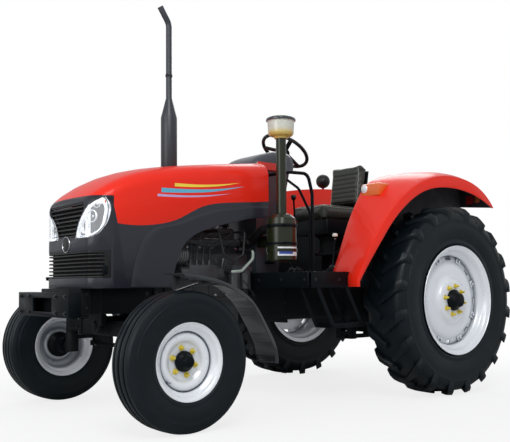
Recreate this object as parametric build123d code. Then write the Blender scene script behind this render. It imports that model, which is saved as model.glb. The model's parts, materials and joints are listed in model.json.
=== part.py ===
"""Farm tractor: two-wheel drive, open platform, front axle steering and a rear three-point linkage.

Millimetres. The tractor is drawn from the ground point below its rear axle: -Y is forward, +Z is up and
+X is the tractor's left. Each piece is then moved back by BOX_SHIFT, so that the origin is on the ground
under the middle of the whole tractor.
"""
from build123d import *
import os
from math import asin, cos, exp, pi, radians, sin, sqrt

# ---------------------------------------------------------------- overall layout
WHEELBASE = 2334.0
FRONT_TRACK = 1665.0          # between the tyres' middle planes
REAR_TRACK = 1742.0
FRONT_REACH = 2820.0          # rear axle to the face of the front bracket
REAR_REACH = 990.0            # rear axle to the ends of the lower links
BOX_SHIFT = (FRONT_REACH - REAR_REACH) / 2
AXLE_Y = -WHEELBASE           # front axle
RUNNING_GAP = 0.05            # radial clearance of a shaft in its bore
SEAT_GAP = 0.3                # clearance between soft pieces and their neighbours
SIDES = {"left": 1, "right": -1}

# ---------------------------------------------------------------- rear wheels
REAR_R = 712.0                # to the lugs' tips
REAR_W = 346.0
REAR_TREAD_R = 680.0          # carcass between the lugs
REAR_FLANGE_R = 410.0
REAR_BEAD_R = 381.0
REAR_WELL_R = 345.0
REAR_FLANGE_D = 18.0          # the tyre's bead inside the flange
REAR_FLANGE_X = 167.0         # flange plane from the wheel's middle plane
REAR_HUB_X = 118.0            # outer face of the disc's middle
REAR_DISC_R = 152.0
REAR_RIM_T = 7.0
REAR_BOSS_R = 62.0
LUG_COUNT = 20                # on each half of the tread
LUG_W = 50.0                  # along the tread at the middle
LUG_SWEEP = 128.0             # how far a lug's outer end trails its nose
LUG_ROOT = 58.0               # how far down the shoulder a lug runs
LUG_SHOULDER = 30.0
DISC_WINDOWS = 8
DISC_WINDOW_R = 40.0
DISC_EDGE = 10.0              # the disc's edge outside its windows

# ---------------------------------------------------------------- front wheels
FRONT_R = 405.0
FRONT_W = 208.0
FRONT_FLANGE_R = 225.0
FRONT_BEAD_R = 203.0
FRONT_WELL_R = 178.0
FRONT_FLANGE_X = 87.0
FRONT_FLANGE_D = 14.5         # the tyre's bead inside the flange
FRONT_HUB_X = 20.0
FRONT_DISC_R = 108.0
FRONT_RIM_T = 5.0
FRONT_BOSS_R = 46.0
RIB_GROOVE_D = 13.0           # depth of the grooves between the tread's ribs
SPINDLE_R = 24.0
HUB_INNER = -120.0            # inner end of the front hub from the wheel's middle plane

# ---------------------------------------------------------------- bonnet and nose
NOSE_SETBACK = 158.0          # nose behind the face of the front bracket
NOSE_Y = -FRONT_REACH + NOSE_SETBACK
BONNET_REAR = -1290.0
BONNET_HALF = 360.0
BONNET_T = 4.0
BONNET_LOW = 822.0            # lower edge of the side panels
CROWN_R = 1500.0              # radius of the bonnet's top across the tractor
BONNET_TOP_FRONT = 1384.0
BONNET_TOP_REAR = 1742.0
BONNET_FRONT_HALF = 262.0
NOSE_ROUND = 192.0            # length over which the nose rounds out to the full width
BONNET_STATION_COUNT = 12
SEAM_Y = NOSE_Y + 173.0       # where the painted bonnet's edge turns up beside the headlamp
SEAM_Z = 1221.0
SEAM_REAR_Z = 1434.0
CORNER_R_REAR = 112.0         # rounding between the bonnet's top and sides
CORNER_R_FRONT = 60.0
LIP_Z = 1362.0                # the painted bonnet's lower edge over the nose
LAMP_DEPTH = 46.0
LAMP_MIDDLE = (262.0, 1256.0)  # x and z of the headlamp's middle
LENS_T = 5.0
UPPER_GRILLE = (-250.0, 250.0, 1140.0, 1350.0)   # x and z limits
LOWER_GRILLE = (-353.0, 353.0, 885.0, 1050.0)
GRILLE_FRAME = 12.0
GRILLE_DEPTH = 26.0
UPPER_SLATS = 7
LOWER_SLATS = 6
SLAT_T = 9.0
NOSE_BACK = NOSE_Y + 222.0    # how far back the lamps and grilles wrap round the nose

# ---------------------------------------------------------------- front support and bracket
SUPPORT_HALF = 205.0
SUPPORT_TOP = BONNET_LOW
SUPPORT_LOW = 660.0
BRACKET_DEPTH = 80.0
SUPPORT_FRONT = -FRONT_REACH + BRACKET_DEPTH
SUPPORT_RIBS = (-280.0, -200.0, 180.0, 260.0)   # from the front axle
SUPPORT_WALL = 40.0
PLATE_HALF = 382.0
PLATE_LOW = 650.0
PLATE_HIGH = 800.0
PLATE_T = 16.0
FLANGE_T = 12.0
SLOT = (145.0, 680.0, 765.0)  # half width, bottom and top of the bracket's opening

# ---------------------------------------------------------------- front axle and steering
KINGPIN_X = 620.0
KINGPIN_R = 22.0
KINGPIN_BOSS_R = 42.0
KINGPIN_LOW = 505.0           # bottom of the axle's sleeve
KINGPIN_HIGH = 640.0
KINGPIN_CAP_H = 24.0
FOOT_R = 46.0
AXLE_BEAM_Z = 560.0
AXLE_BEAM_H = 100.0
AXLE_BEAM_W = 90.0
AXLE_ARM_H = 76.0             # sliding outer arms of the beam
AXLE_ARM_W = 66.0
AXLE_MIDDLE = 400.0           # half length of the beam's middle box
AXLE_HOLES = 2                # on each arm
AXLE_HOLE_PITCH = 60.0
AXLE_HOLE_R = 10.0
AXLE_PIVOT_R = 30.0
PIVOT_HALF = 130.0            # half length of the pivot over its two lugs
PIVOT_LUG_T = 34.0
AXLE_PIVOT_Z = AXLE_BEAM_Z + 20
ARM_REACH = 170.0             # kingpin to tie rod pin
ARM_T = 26.0
ARM_ROOT = 34.0               # half widths of a steering arm
ARM_END = 24.0
ARM_Z = 470.0
TIE_R = 15.0
TIE_PIN_R = 10.0
TIE_Z = ARM_Z - 50.0
CYL_PIN_REACH = 120.0
CYL_Z = ARM_Z + 52.0
CYL_R = 27.0
CYL_ROD_R = 13.0
CYL_BARREL = (110.0, 430.0)   # x of the barrel's two ends
CYL_END_T = 20.0
CYL_STROKE = 76.0             # each way from the middle
GUARD_T = 4.0
GUARD_IN = 740.0
GUARD_OUT = 955.0
GUARD_LIP = 26.0
GUARD_STATIONS = [            # angle behind the top of the wheel, clearance to the tyre
    (-7.0, 99.0), (6.4, 86.0), (27.4, 98.0), (50.6, 136.0), (70.9, 160.0), (84.5, 202.0), (94.5, 219.0),
]
GUARD_STAY_AT = (26.0, 98.0)
STAY_R = 11.0

# ---------------------------------------------------------------- engine
ENGINE_FRONT = -2000.0
ENGINE_REAR = -1330.0
BLOCK_HALF = 150.0
BLOCK_LOW = 740.0
BLOCK_TOP = 1060.0
SUMP_LOW = 560.0
HEAD_HALF = 115.0
HEAD_TOP = 1170.0
COVER_TOP = 1252.0
COVER_HALF = 78.0
CYLINDERS = 4
TIMING_T = 46.0
FLYWHEEL_R = 175.0
ALTERNATOR_R = 58.0
PUMP_W = 84.0
PUMP_Z = 930.0
CRANK_Z = 902.0
FAN_Z = 1085.0
FAN_R = 200.0
FAN_BLADES = 6
STACK_X = 0.0
STACK_Y = ENGINE_FRONT + 100.0
MUFFLER_R = 57.0
MUFFLER_TOP = 2017.0
STACK_R = 21.0
STACK_TOP = 2690.0

# ---------------------------------------------------------------- driver's place
DASH_HALF = 190.0
COWL_HALF = 210.0
PLATFORM_TOP = 922.0
PLATFORM_SKIRT = 106.0
PLATFORM_HALF = 850.0
PLATFORM_FRONT = -1350.0
PLATFORM_REAR = -560.0
PLATFORM_WIDE = -800.0        # behind this the floor is narrow, between the fenders
PLATFORM_T = 4.0
PLATFORM_NOTCH = -1275.0      # the floor is open ahead of this, round the clutch housing
PLATFORM_CORNER = 30.0
STEP_IN = 672.0               # x of the step's hangers
STEP_OUT = 836.0
STEP_Y = (-1140.0, -820.0)
STEP_Z = 540.0
STEP_HANGERS = [(-1262.0, -1124.0), (-990.0, -845.0)]   # y at the top and at the foot
RAIL_X = 470.0
RAIL_R = 12.5
LEVERS = [
    # x, y, lean in x, lean in y, top
    (80.0, -760.0, 120.0, -150.0, 1500.0), (-60.0, -700.0, -30.0, -90.0, 1360.0),
    (560.0, -860.0, 10.0, 24.0, 1186.0), (-420.0, -640.0, 0.0, 60.0, 1420.0),
]
PEDALS = [(262.0, -1090.0), (-262.0, -1090.0), (-350.0, -1090.0)]
FENDER_IN = 600.0
FENDER_OUT = 1000.0
FENDER_T = 5.0
FENDER_BULGE = 22.0
FENDER_REAR = 460.0           # behind this the fender's inner wall is cut up
FENDER_LAMP = (710.0, -560.0, 1545.0)
WORK_LAMP = (-640.0, 212.0, 1815.0)
WORK_LAMP_R = 66.0
WHEEL_TILT = 34.0             # steering wheel's plane from level
STEER_C = (0.0, -819.0, 1901.0)
STEER_R = 205.0
STEER_RIM_R = 14.0
COLUMN_R = 24.0
SEAT_Y = -290.0
SEAT_W = 400.0
BACK_W = 364.0
SEAT_Z = 1360.0               # underside of the cushion
AIR_X = 500.0
AIR_Y = -1290.0
CANISTER_R = 106.0
AIR_PIPE_R = 36.0
AIR_OUTLET_Z = 1232.0
BOWL_LOW = 1862.0             # precleaner's bowl
BOWL_TOP = 2040.0
BOWL_R = 98.0

# ---------------------------------------------------------------- rear axle, linkage and drawbar
CASE_HALF = 215.0             # rear axle's centre housing
CASE_TOP = 960.0
CASE_REAR = 270.0
HOUSING_END = 640.0
SHAFT_R = 40.0
LIFT_PIVOT = (160.0, 1025.0)  # y, z of the lift arms' shaft
LIFT_SHAFT_R = 32.0
LIFT_TOP = 1075.0             # top of the lift's housing
LIFT_TIP = (480.0, 1075.0)    # y, z of the lift rods' upper pins
LIFT_ARM_X = 290.0
LIFT_ARM_T = 26.0
ARM_ROOT = 34.0               # half widths of a steering arm
ARM_END = 24.0
LIFT_ROD_X = 326.0            # upper eyes of the lift rods
LIFT_PIN_R = 12.0
LINK_PIVOT = (60.0, 470.0)    # y, z of the lower links' front pins
LINK_END = (948.0, 452.0)     # y, z of the balls at their rear ends
LINK_X_FRONT = 262.0
LINK_X_REAR = 400.0
LINK_T = 22.0
LINK_H = 66.0
LINK_BALL_R = 14.35           # bore of the ball at the rear end
LINK_BALL_W = 45.0
LINK_PIN_R = 14.0
LINK_ROD_AT = 0.56            # where the lift rods meet the links, as a share of their length
TOP_LINK = (330.0, 900.0)     # y, z of the top link's pin hole
TOP_LINK_R = 12.75
PTO_Z = 610.0
PTO_R = 17.4
DRAWBAR_Z = 395.0
DRAWBAR_END = 760.0
DRAWBAR_PIN_R = 15.0


# ---------------------------------------------------------------- helpers
def block(x0, x1, y0, y1, z0, z1):
    return Pos((x0 + x1) / 2, (y0 + y1) / 2, (z0 + z1) / 2) * Box(abs(x1 - x0), abs(y1 - y0), abs(z1 - z0))


SIDE_VIEW = Plane(origin=(0, 0, 0), x_dir=(0, 1, 0), z_dir=(1, 0, 0))
FRONT_VIEW = Plane(origin=(0, 0, 0), x_dir=(1, 0, 0), z_dir=(0, -1, 0))


def outline(*lines):
    """A face from the lines and curves of its closed edge."""
    return make_face([edge for line in lines for edge in line.edges()])


def across(face, x0, x1):
    """A face drawn in side view, (y, z), made solid from x0 to x1."""
    return extrude(Pos(min(x0, x1), 0, 0) * (SIDE_VIEW * face), abs(x1 - x0), dir=(1, 0, 0))


def polygon(*points):
    return make_face(Polyline(*points, close=True))


def rod(start, end, radius):
    start, end = Vector(*start), Vector(*end)
    return Plane(origin=start, z_dir=end - start) * Cylinder(
        radius, (end - start).length, align=(Align.CENTER, Align.CENTER, Align.MIN))


def tube_along(points, radius, bends):
    path = FilletPolyline(*points, radius=bends)
    return sweep(Plane(origin=path @ 0, z_dir=path % 0) * Circle(radius), path=path)


def turned(*profile):
    """A solid turned about X from a closed list of (x, r) points."""
    return revolve(polygon(*profile), Axis.X)


def upright(*profile):
    """A solid turned about Z from a closed list of (r, z) points."""
    return revolve(Plane.XZ * polygon(*profile), Axis.Z)


def both(make):
    """A piece for the left side and its mirror for the right."""
    left = make()
    return left, mirror(left, Plane.YZ)


def fuse(parts):
    first, *rest = parts
    return first.fuse(*rest) if rest else first


def rounded(solid, radius, keep):
    """Fillets the edges that keep() picks by their middle point and length."""
    return fillet([edge for edge in solid.edges() if keep(edge.center(), edge.length)], radius)


NODES = {}


def node(name, shape):
    NODES[name] = Pos(0, BOX_SHIFT, 0) * shape


# ---------------------------------------------------------------- wheels
def tyre_section(half, crown, shoulder, bead_r, bead_x):
    """Half of a tyre's section, middle of the tread to bead; crown and shoulder are radii."""
    bulge = bead_r + 0.5 * (crown - bead_r)
    return [(half * 0.84, shoulder), (half * 0.95, shoulder - 0.4 * (shoulder - bulge)), (half, bulge),
            (half * 0.97, bead_r + 0.27 * (crown - bead_r)), (bead_x, bead_r + 2)]


def closed(half_section):
    """The whole section from its right half, closed between the beads."""
    return half_section + [(-x, r) for x, r in reversed(half_section)]


def lug():
    """One bar of the left half of the tread, at the top of the wheel, its nose by the middle."""
    half = REAR_W / 2
    face = polygon((4, -LUG_W / 2), (half, LUG_SWEEP - LUG_W / 2), (half, LUG_SWEEP + LUG_W * 0.75), (4, LUG_W / 2))
    column = extrude(Pos(0, 0, REAR_TREAD_R - LUG_ROOT) * face, LUG_ROOT + REAR_R, dir=(0, 0, 1))
    envelope = turned((0, 0), (0, REAR_R), (half * 0.78, REAR_R), (half * 0.97, REAR_R - LUG_SHOULDER),
                      (half * 0.97, 0))
    return column & envelope


def rear_tyre():
    half = REAR_W / 2
    section = [(half * 0.2, REAR_TREAD_R)] + tyre_section(
        half, REAR_TREAD_R, REAR_TREAD_R - 10, REAR_BEAD_R, REAR_FLANGE_X - REAR_FLANGE_D)
    carcass = turned(*closed(section))
    left = lug()
    right = mirror(left, Plane.YZ)
    pitch = 360 / LUG_COUNT
    lugs = [Rot(i * pitch, 0, 0) * left for i in range(LUG_COUNT)]
    lugs += [Rot((i + 0.5) * pitch, 0, 0) * right for i in range(LUG_COUNT)]
    return carcass.fuse(*lugs)


def front_tyre():
    """Ribbed tread: a middle rib, two inner ribs and the shoulders, with three grooves between."""
    half = FRONT_W / 2
    deep = FRONT_R - RIB_GROOVE_D
    ribs = [(half * 0.06, deep), (half * 0.14, FRONT_R), (half * 0.40, FRONT_R - 1), (half * 0.45, deep),
            (half * 0.53, deep), (half * 0.58, FRONT_R - 2)]
    section = ribs + tyre_section(half, FRONT_R, FRONT_R - 9, FRONT_BEAD_R, FRONT_FLANGE_X - FRONT_FLANGE_D)
    return turned(*closed(section))


def rim_barrel(flange_r, bead_r, well_r, flange_x, sheet):
    """Drop-centre rim: flange, bead seat and well, in sheet of even thickness."""
    half = [(flange_x, flange_r), (flange_x - 14, bead_r + 2), (flange_x * 0.72, bead_r - 3),
            (flange_x * 0.52, well_r)]
    outer = half + [(-x, r) for x, r in reversed(half)]
    inner = [(x, r - sheet) for x, r in reversed(outer)]
    return turned(*(outer + inner))


def rear_rim():
    x = REAR_HUB_X
    barrel = rim_barrel(REAR_FLANGE_R, REAR_BEAD_R, REAR_WELL_R, REAR_FLANGE_X, REAR_RIM_T)
    rise = REAR_WELL_R - REAR_RIM_T / 2
    disc = turned((x, REAR_BOSS_R), (x, REAR_DISC_R), (x - 34, 190), (70, 300), (64, rise), (54, rise), (60, 292),
                  (x - 46, 180), (x - 10, REAR_DISC_R - 4), (x - 10, REAR_BOSS_R))
    for i in range(DISC_WINDOWS):
        window = Pos(60, 0, REAR_WELL_R - 12) * Rot(0, 90, 0) * Cylinder(DISC_WINDOW_R, 60)
        window &= turned((0, 0), (0, rise - DISC_EDGE), (100, rise - DISC_EDGE), (100, 0))
        disc -= Rot(i * 360 / DISC_WINDOWS, 0, 0) * window
    return barrel + disc


def front_rim():
    x = FRONT_HUB_X
    barrel = rim_barrel(FRONT_FLANGE_R, FRONT_BEAD_R, FRONT_WELL_R, FRONT_FLANGE_X, FRONT_RIM_T)
    rise = FRONT_WELL_R - FRONT_RIM_T / 2
    disc = turned((x, FRONT_BOSS_R), (x, FRONT_DISC_R), (x + 18, 128), (x + 12, rise), (x + 5, rise), (x + 11, 130),
                  (x - 7, FRONT_DISC_R), (x - 7, FRONT_BOSS_R))
    return barrel + disc


def rear_hub():
    """Hub flange behind the disc, boss through it and the axle shaft inwards."""
    x = REAR_HUB_X
    inner = HOUSING_END - 120 - REAR_TRACK / 2
    return turned((x + 62, 0), (x + 62, 40), (x + 40, 52), (x + 34, REAR_BOSS_R - 2), (x - 10, REAR_BOSS_R - 0.1),
                  (x - 10, 130), (x - 34, 130), (x - 60, 60), (x - 150, SHAFT_R), (inner, SHAFT_R), (inner, 0))


def front_hub():
    x = FRONT_HUB_X
    bore = SPINDLE_R + RUNNING_GAP
    return turned((x + 62, 0), (x + 62, 26), (x + 30, 40), (x, FRONT_BOSS_R - 0.1), (x - 7, FRONT_BOSS_R - 0.1),
                  (x - 7, 92), (x - 22, 92), (x - 40, 56), (HUB_INNER, 56), (HUB_INNER, bore), (x + 30, bore),
                  (x + 30, 0))


WHEELS = [
    # name, track, y, radius, pieces
    ("rear", REAR_TRACK, 0.0, REAR_R, {"tyre": rear_tyre, "rim": rear_rim, "hub": rear_hub}),
    ("front", FRONT_TRACK, AXLE_Y, FRONT_R, {"tyre": front_tyre, "rim": front_rim, "hub": front_hub}),
]
for axle, track, y, radius, pieces in WHEELS:
    for piece, make in pieces.items():
        for word, shape in zip(SIDES, both(lambda: Pos(track / 2, y, radius) * make())):
            node(f"{axle}_{piece}_{word}", shape)


# ---------------------------------------------------------------- front axle and steering
KINGPIN_MIDDLE = (KINGPIN_LOW + KINGPIN_HIGH) / 2
CYL_Y = AXLE_Y + CYL_PIN_REACH


def front_axle():
    """Box beam with a sliding arm, a row of holes and a kingpin sleeve at each end."""
    y = AXLE_Y
    beam = block(-AXLE_MIDDLE, AXLE_MIDDLE, y - AXLE_BEAM_W / 2, y + AXLE_BEAM_W / 2,
                 AXLE_BEAM_Z - AXLE_BEAM_H / 2, AXLE_BEAM_Z + AXLE_BEAM_H / 2)
    beam += block(-KINGPIN_X, KINGPIN_X, y - AXLE_ARM_W / 2, y + AXLE_ARM_W / 2,
                  AXLE_BEAM_Z - AXLE_ARM_H / 2, AXLE_BEAM_Z + AXLE_ARM_H / 2)
    beam += rod((0, y - PIVOT_HALF + PIVOT_LUG_T, AXLE_PIVOT_Z), (0, y + PIVOT_HALF - PIVOT_LUG_T, AXLE_PIVOT_Z),
                2 * AXLE_PIVOT_R)
    for side in SIDES.values():
        collar = side * (AXLE_MIDDLE - 20)
        beam += block(collar - 20, collar + 20, y - AXLE_BEAM_W / 2 - 8, y + AXLE_BEAM_W / 2 + 8,
                      AXLE_BEAM_Z - AXLE_BEAM_H / 2 - 8, AXLE_BEAM_Z + AXLE_BEAM_H / 2 + 8)
        beam += Pos(side * KINGPIN_X, y, KINGPIN_MIDDLE) * Cylinder(KINGPIN_BOSS_R, KINGPIN_HIGH - KINGPIN_LOW)
        beam -= Pos(side * KINGPIN_X, y, KINGPIN_MIDDLE) * Cylinder(
            KINGPIN_R + RUNNING_GAP, KINGPIN_HIGH - KINGPIN_LOW + 20)
        for step in range(AXLE_HOLES):
            x = side * (AXLE_MIDDLE + 45 + step * AXLE_HOLE_PITCH)
            beam -= rod((x, y - AXLE_ARM_W, AXLE_BEAM_Z), (x, y + AXLE_ARM_W, AXLE_BEAM_Z), AXLE_HOLE_R)
    return beam - axle_pivot()


def axle_pivot():
    return rod((0, AXLE_Y - PIVOT_HALF - 10, AXLE_PIVOT_Z), (0, AXLE_Y + PIVOT_HALF + 10, AXLE_PIVOT_Z), AXLE_PIVOT_R)


def knuckle():
    """Left steering knuckle: foot with kingpin and cap, stub spindle and rearward steering arm."""
    x, y = KINGPIN_X, AXLE_Y
    foot_top = KINGPIN_LOW - 1.0
    cap_top = KINGPIN_HIGH + 1 + KINGPIN_CAP_H
    foot = rod((x, y, FRONT_R - 38), (x, y, foot_top), FOOT_R)
    pin = rod((x, y, foot_top - 5), (x, y, cap_top), KINGPIN_R)
    cap = rod((x, y, KINGPIN_HIGH + 1), (x, y, cap_top), KINGPIN_BOSS_R - 4)
    flange = rod((x + FOOT_R - 8, y, FRONT_R), (x + FOOT_R + 12, y, FRONT_R), KINGPIN_BOSS_R - 4)
    spindle = rod((x, y, FRONT_R), (FRONT_TRACK / 2 + FRONT_HUB_X + 24, y, FRONT_R), SPINDLE_R)
    blade = polygon((x - ARM_ROOT, y), (x - ARM_END, y + ARM_REACH), (x + ARM_END, y + ARM_REACH), (x + ARM_ROOT, y))
    arm = extrude(Pos(0, 0, ARM_Z - ARM_T / 2) * blade, ARM_T, dir=(0, 0, 1))
    arm += Pos(x, y + ARM_REACH, ARM_Z) * Cylinder(ARM_END + 4, ARM_T)
    arm -= Pos(x, y + ARM_REACH, ARM_Z) * Cylinder(TIE_PIN_R + RUNNING_GAP, 3 * ARM_T)
    return fuse([foot, pin, cap, flange, spindle, arm])


def guard_point(angle, clearance, under=0.0):
    """Side view point of the mudguard, by its angle behind the top of the front wheel."""
    reach = FRONT_R + clearance - under
    return AXLE_Y + reach * sin(radians(angle)), FRONT_R + reach * cos(radians(angle))


def mudguard():
    """Left front mudguard: a rolled sheet with a turned outer lip, on a stay from the kingpin's cap."""
    def layer(depth):
        top = [guard_point(*station) for station in GUARD_STATIONS]
        base = [guard_point(*station, depth) for station in GUARD_STATIONS]
        return outline(Spline(top), Spline(base), Line(top[0], base[0]), Line(top[-1], base[-1]))

    sheet = across(layer(GUARD_T), GUARD_IN, GUARD_OUT) + across(layer(GUARD_LIP), GUARD_OUT - GUARD_T, GUARD_OUT)
    x, cap_top = KINGPIN_X, KINGPIN_HIGH + 1 + KINGPIN_CAP_H
    stay_y, stay_z = guard_point(*GUARD_STAY_AT, GUARD_T + STAY_R / 2)
    return sheet + tube_along([(x, AXLE_Y, cap_top), (x, AXLE_Y, cap_top + 110), (x + 60, stay_y - 5, stay_z),
                               (GUARD_OUT - 30, stay_y, stay_z)], STAY_R, 40)


def tie_rod():
    """A cross tube with an eye and a pin at each end, below the steering arms."""
    y = AXLE_Y + ARM_REACH
    bar = rod((-KINGPIN_X, y, TIE_Z), (KINGPIN_X, y, TIE_Z), TIE_R)
    for side in SIDES.values():
        bar += Pos(side * KINGPIN_X, y, TIE_Z) * Cylinder(25, 36)
        bar += rod((side * (KINGPIN_X - 90), y, TIE_Z), (side * (KINGPIN_X - 40), y, TIE_Z), TIE_R + 6)
        bar += rod((side * KINGPIN_X, y, TIE_Z), (side * KINGPIN_X, y, ARM_Z + ARM_T / 2 + 12), TIE_PIN_R)
    return bar


def steering_cylinder():
    """Barrel held on the axle beam, with its gland and two ports."""
    x0, x1 = CYL_BARREL
    barrel = rod((x0, CYL_Y, CYL_Z), (x1, CYL_Y, CYL_Z), CYL_R) + rod((x1 - 30, CYL_Y, CYL_Z), (x1, CYL_Y, CYL_Z), CYL_R + 5)
    for x in (x0 + 22, x1 - 50):
        barrel += rod((x, CYL_Y, CYL_Z), (x, CYL_Y, CYL_Z + CYL_R + 14), 9)
    barrel += block(x0 + 10, x0 + 60, AXLE_Y + AXLE_BEAM_W / 2, CYL_Y, CYL_Z - 18, CYL_Z + 18)
    return barrel - rod((x0 + CYL_END_T, CYL_Y, CYL_Z), (x1 + 1, CYL_Y, CYL_Z), CYL_ROD_R + RUNNING_GAP)


def steering_rod():
    """Rod with the eye on the left steering arm; it runs free for the whole stroke inside the barrel."""
    start = CYL_BARREL[0] + CYL_END_T + CYL_STROKE + 6
    stem = rod((start, CYL_Y, CYL_Z), (KINGPIN_X - 20, CYL_Y, CYL_Z), CYL_ROD_R)
    return stem + rod((KINGPIN_X, CYL_Y, ARM_Z + ARM_T / 2 + 1), (KINGPIN_X, CYL_Y, CYL_Z + 16), 22)


node("front_axle", front_axle())
node("steering_cylinder", steering_cylinder())
node("steering_rod", steering_rod())
node("tie_rod", tie_rod())
for name, make in (("knuckle", knuckle), ("mudguard", mudguard)):
    for word, piece in zip(SIDES, both(make)):
        node(f"{name}_{word}", piece)


# ---------------------------------------------------------------- front support and bracket
def front_support():
    """Cast frame below the nose with ribbed sides and the two lugs of the axle's pivot."""
    wall, half = SUPPORT_WALL, SUPPORT_HALF
    body = block(-half, half, SUPPORT_FRONT, ENGINE_FRONT, SUPPORT_LOW, SUPPORT_TOP)
    body -= block(-half + wall, half - wall, SUPPORT_FRONT + wall + 20, ENGINE_FRONT - wall - 20,
                  SUPPORT_LOW - 1, SUPPORT_TOP + 1)
    for y in (AXLE_Y - PIVOT_HALF, AXLE_Y + PIVOT_HALF - PIVOT_LUG_T):
        body += block(-half + 30, half - 30, y, y + PIVOT_LUG_T, SUPPORT_LOW, SUPPORT_TOP - 30)
        lug = across(polygon((y, SUPPORT_LOW + 20), (y + PIVOT_LUG_T, SUPPORT_LOW + 20), (y + PIVOT_LUG_T, AXLE_PIVOT_Z),
                             (y, AXLE_PIVOT_Z)), -90, 90)
        body += lug + rod((0, y, AXLE_PIVOT_Z), (0, y + PIVOT_LUG_T, AXLE_PIVOT_Z), 2 * AXLE_PIVOT_R)
    for y in SUPPORT_RIBS:
        for side in SIDES.values():
            body += block(side * half, side * (half + 16), AXLE_Y + y, AXLE_Y + y + 18, SUPPORT_LOW, SUPPORT_TOP)
    return body + axle_pivot()


def front_bracket():
    """Channel bolted to the front of the support, with the opening for weights or a tow pin."""
    front, back = -FRONT_REACH, -FRONT_REACH + PLATE_T
    plate = block(-PLATE_HALF, PLATE_HALF, front, back, PLATE_LOW, PLATE_HIGH)
    plate -= block(-SLOT[0], SLOT[0], front - 1, back + 1, SLOT[1], SLOT[2])
    for z in (PLATE_LOW, PLATE_HIGH - FLANGE_T):
        plate += block(-PLATE_HALF, PLATE_HALF, front, SUPPORT_FRONT, z, z + FLANGE_T)
    for x in (-PLATE_HALF, -SUPPORT_HALF, SUPPORT_HALF - FLANGE_T, PLATE_HALF - FLANGE_T):
        plate += block(x, x + FLANGE_T, front, SUPPORT_FRONT, PLATE_LOW, PLATE_HIGH)
    return plate


node("front_support", front_support())
node("front_bracket", front_bracket())


# ---------------------------------------------------------------- bonnet and nose panels
def bonnet_section(y, half, top, corner, inset):
    """One station: straight sides, tangent corner arcs and the crown's arc, as a face across the tractor."""
    half, top, corner, crown = half - inset, top - inset, corner - inset, CROWN_R - inset
    centre_z = top - crown + sqrt((crown - corner) ** 2 - (half - corner) ** 2)
    slope = asin((half - corner) / (crown - corner))
    turn = (pi / 2 - slope) / 2
    end = (half - corner + corner * sin(slope), centre_z + corner * cos(slope))
    middle = (half - corner + corner * cos(turn), centre_z + corner * sin(turn))
    low = BONNET_LOW - 300
    face = outline(
        Line((half, low), (half, centre_z)), ThreePointArc((half, centre_z), middle, end),
        ThreePointArc(end, (0, top), (-end[0], end[1])),
        ThreePointArc((-end[0], end[1]), (-middle[0], middle[1]), (-half, centre_z)),
        Line((-half, centre_z), (-half, low)), Line((-half, low), (half, low)))
    return Pos(0, y, 0) * (FRONT_VIEW * face)


def bonnet_top(share):
    """Height of the bonnet's middle line: a steep nose that eases into a nearly straight slope."""
    drop = BONNET_TOP_REAR - BONNET_TOP_FRONT
    return BONNET_TOP_REAR - drop * (1 - share) * (0.45 + 0.55 * exp(-share / 0.17))


def bonnet_half(y):
    """Half width: an ellipse round the nose, then straight."""
    into_nose = min(1.0, max(0.0, (NOSE_Y + NOSE_ROUND - y) / NOSE_ROUND))
    return BONNET_FRONT_HALF + (BONNET_HALF - BONNET_FRONT_HALF) * sqrt(1 - into_nose ** 2)


def bonnet_envelope(inset=0.0):
    """The bonnet's outer shape as a solid, or the same shape a distance further in."""
    faces = []
    for i in range(BONNET_STATION_COUNT + 1):
        share = (i / BONNET_STATION_COUNT) ** 2
        y = NOSE_Y + share * (BONNET_REAR - NOSE_Y)
        corner = CORNER_R_REAR - (CORNER_R_REAR - CORNER_R_FRONT) * exp(-share / 0.1)
        faces.append(bonnet_section(y + (inset if i == 0 else 0), bonnet_half(y), bonnet_top(share), corner, inset))
    return loft(faces, ruled=True)


def painted_region():
    """Side view of the painted bonnet: its lower edge runs back from the headlamp in a long wave."""
    far, top = NOSE_Y - 150, BONNET_TOP_REAR + 260
    seam = [(BONNET_REAR, SEAM_REAR_Z), (BONNET_REAR - 350, SEAM_REAR_Z - 32), (BONNET_REAR - 595, SEAM_REAR_Z - 82),
            (BONNET_REAR - 760, SEAM_REAR_Z - 164), (SEAM_Y + 289, SEAM_Z + 8), (SEAM_Y, SEAM_Z)]
    tip = (SEAM_Y - 30, LIP_Z - 18)
    return across(outline(
        Spline(seam), Line(seam[-1], tip), Spline([tip, (tip[0] - 30, LIP_Z), (far, LIP_Z)], tangents=[(-0.3, 1), (-1, 0)]),
        Line((far, LIP_Z), (far, top)), Line((far, top), (BONNET_REAR, top)), Line((BONNET_REAR, top), seam[0])),
        -BONNET_HALF - 140, BONNET_HALF + 140)


def engine_bay_region():
    """What the side panels leave open, in side view: the engine shows below this arch."""
    rear, low = BONNET_REAR + 10, BONNET_LOW - 420
    front = ENGINE_FRONT - 118
    arch = [(front, BONNET_LOW), (front + 31, 923), (front + 66, 1023), (front + 114, 1106), (front + 200, 1172),
            (front + 303, 1213), (front + 478, 1260), (rear - 120, 1308), (rear, 1318)]
    return across(outline(Line((front, low), arch[0]), Spline(arch), Line(arch[-1], (rear, low)),
                          Line((rear, low), (front, low))), -BONNET_HALF - 140, BONNET_HALF + 140)


def forward(face, reach=300.0):
    """A front view face, (x, z), made solid from behind the lamps to ahead of the nose."""
    return extrude(Pos(0, NOSE_BACK, 0) * (FRONT_VIEW * face), reach, dir=(0, -1, 0))


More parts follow.
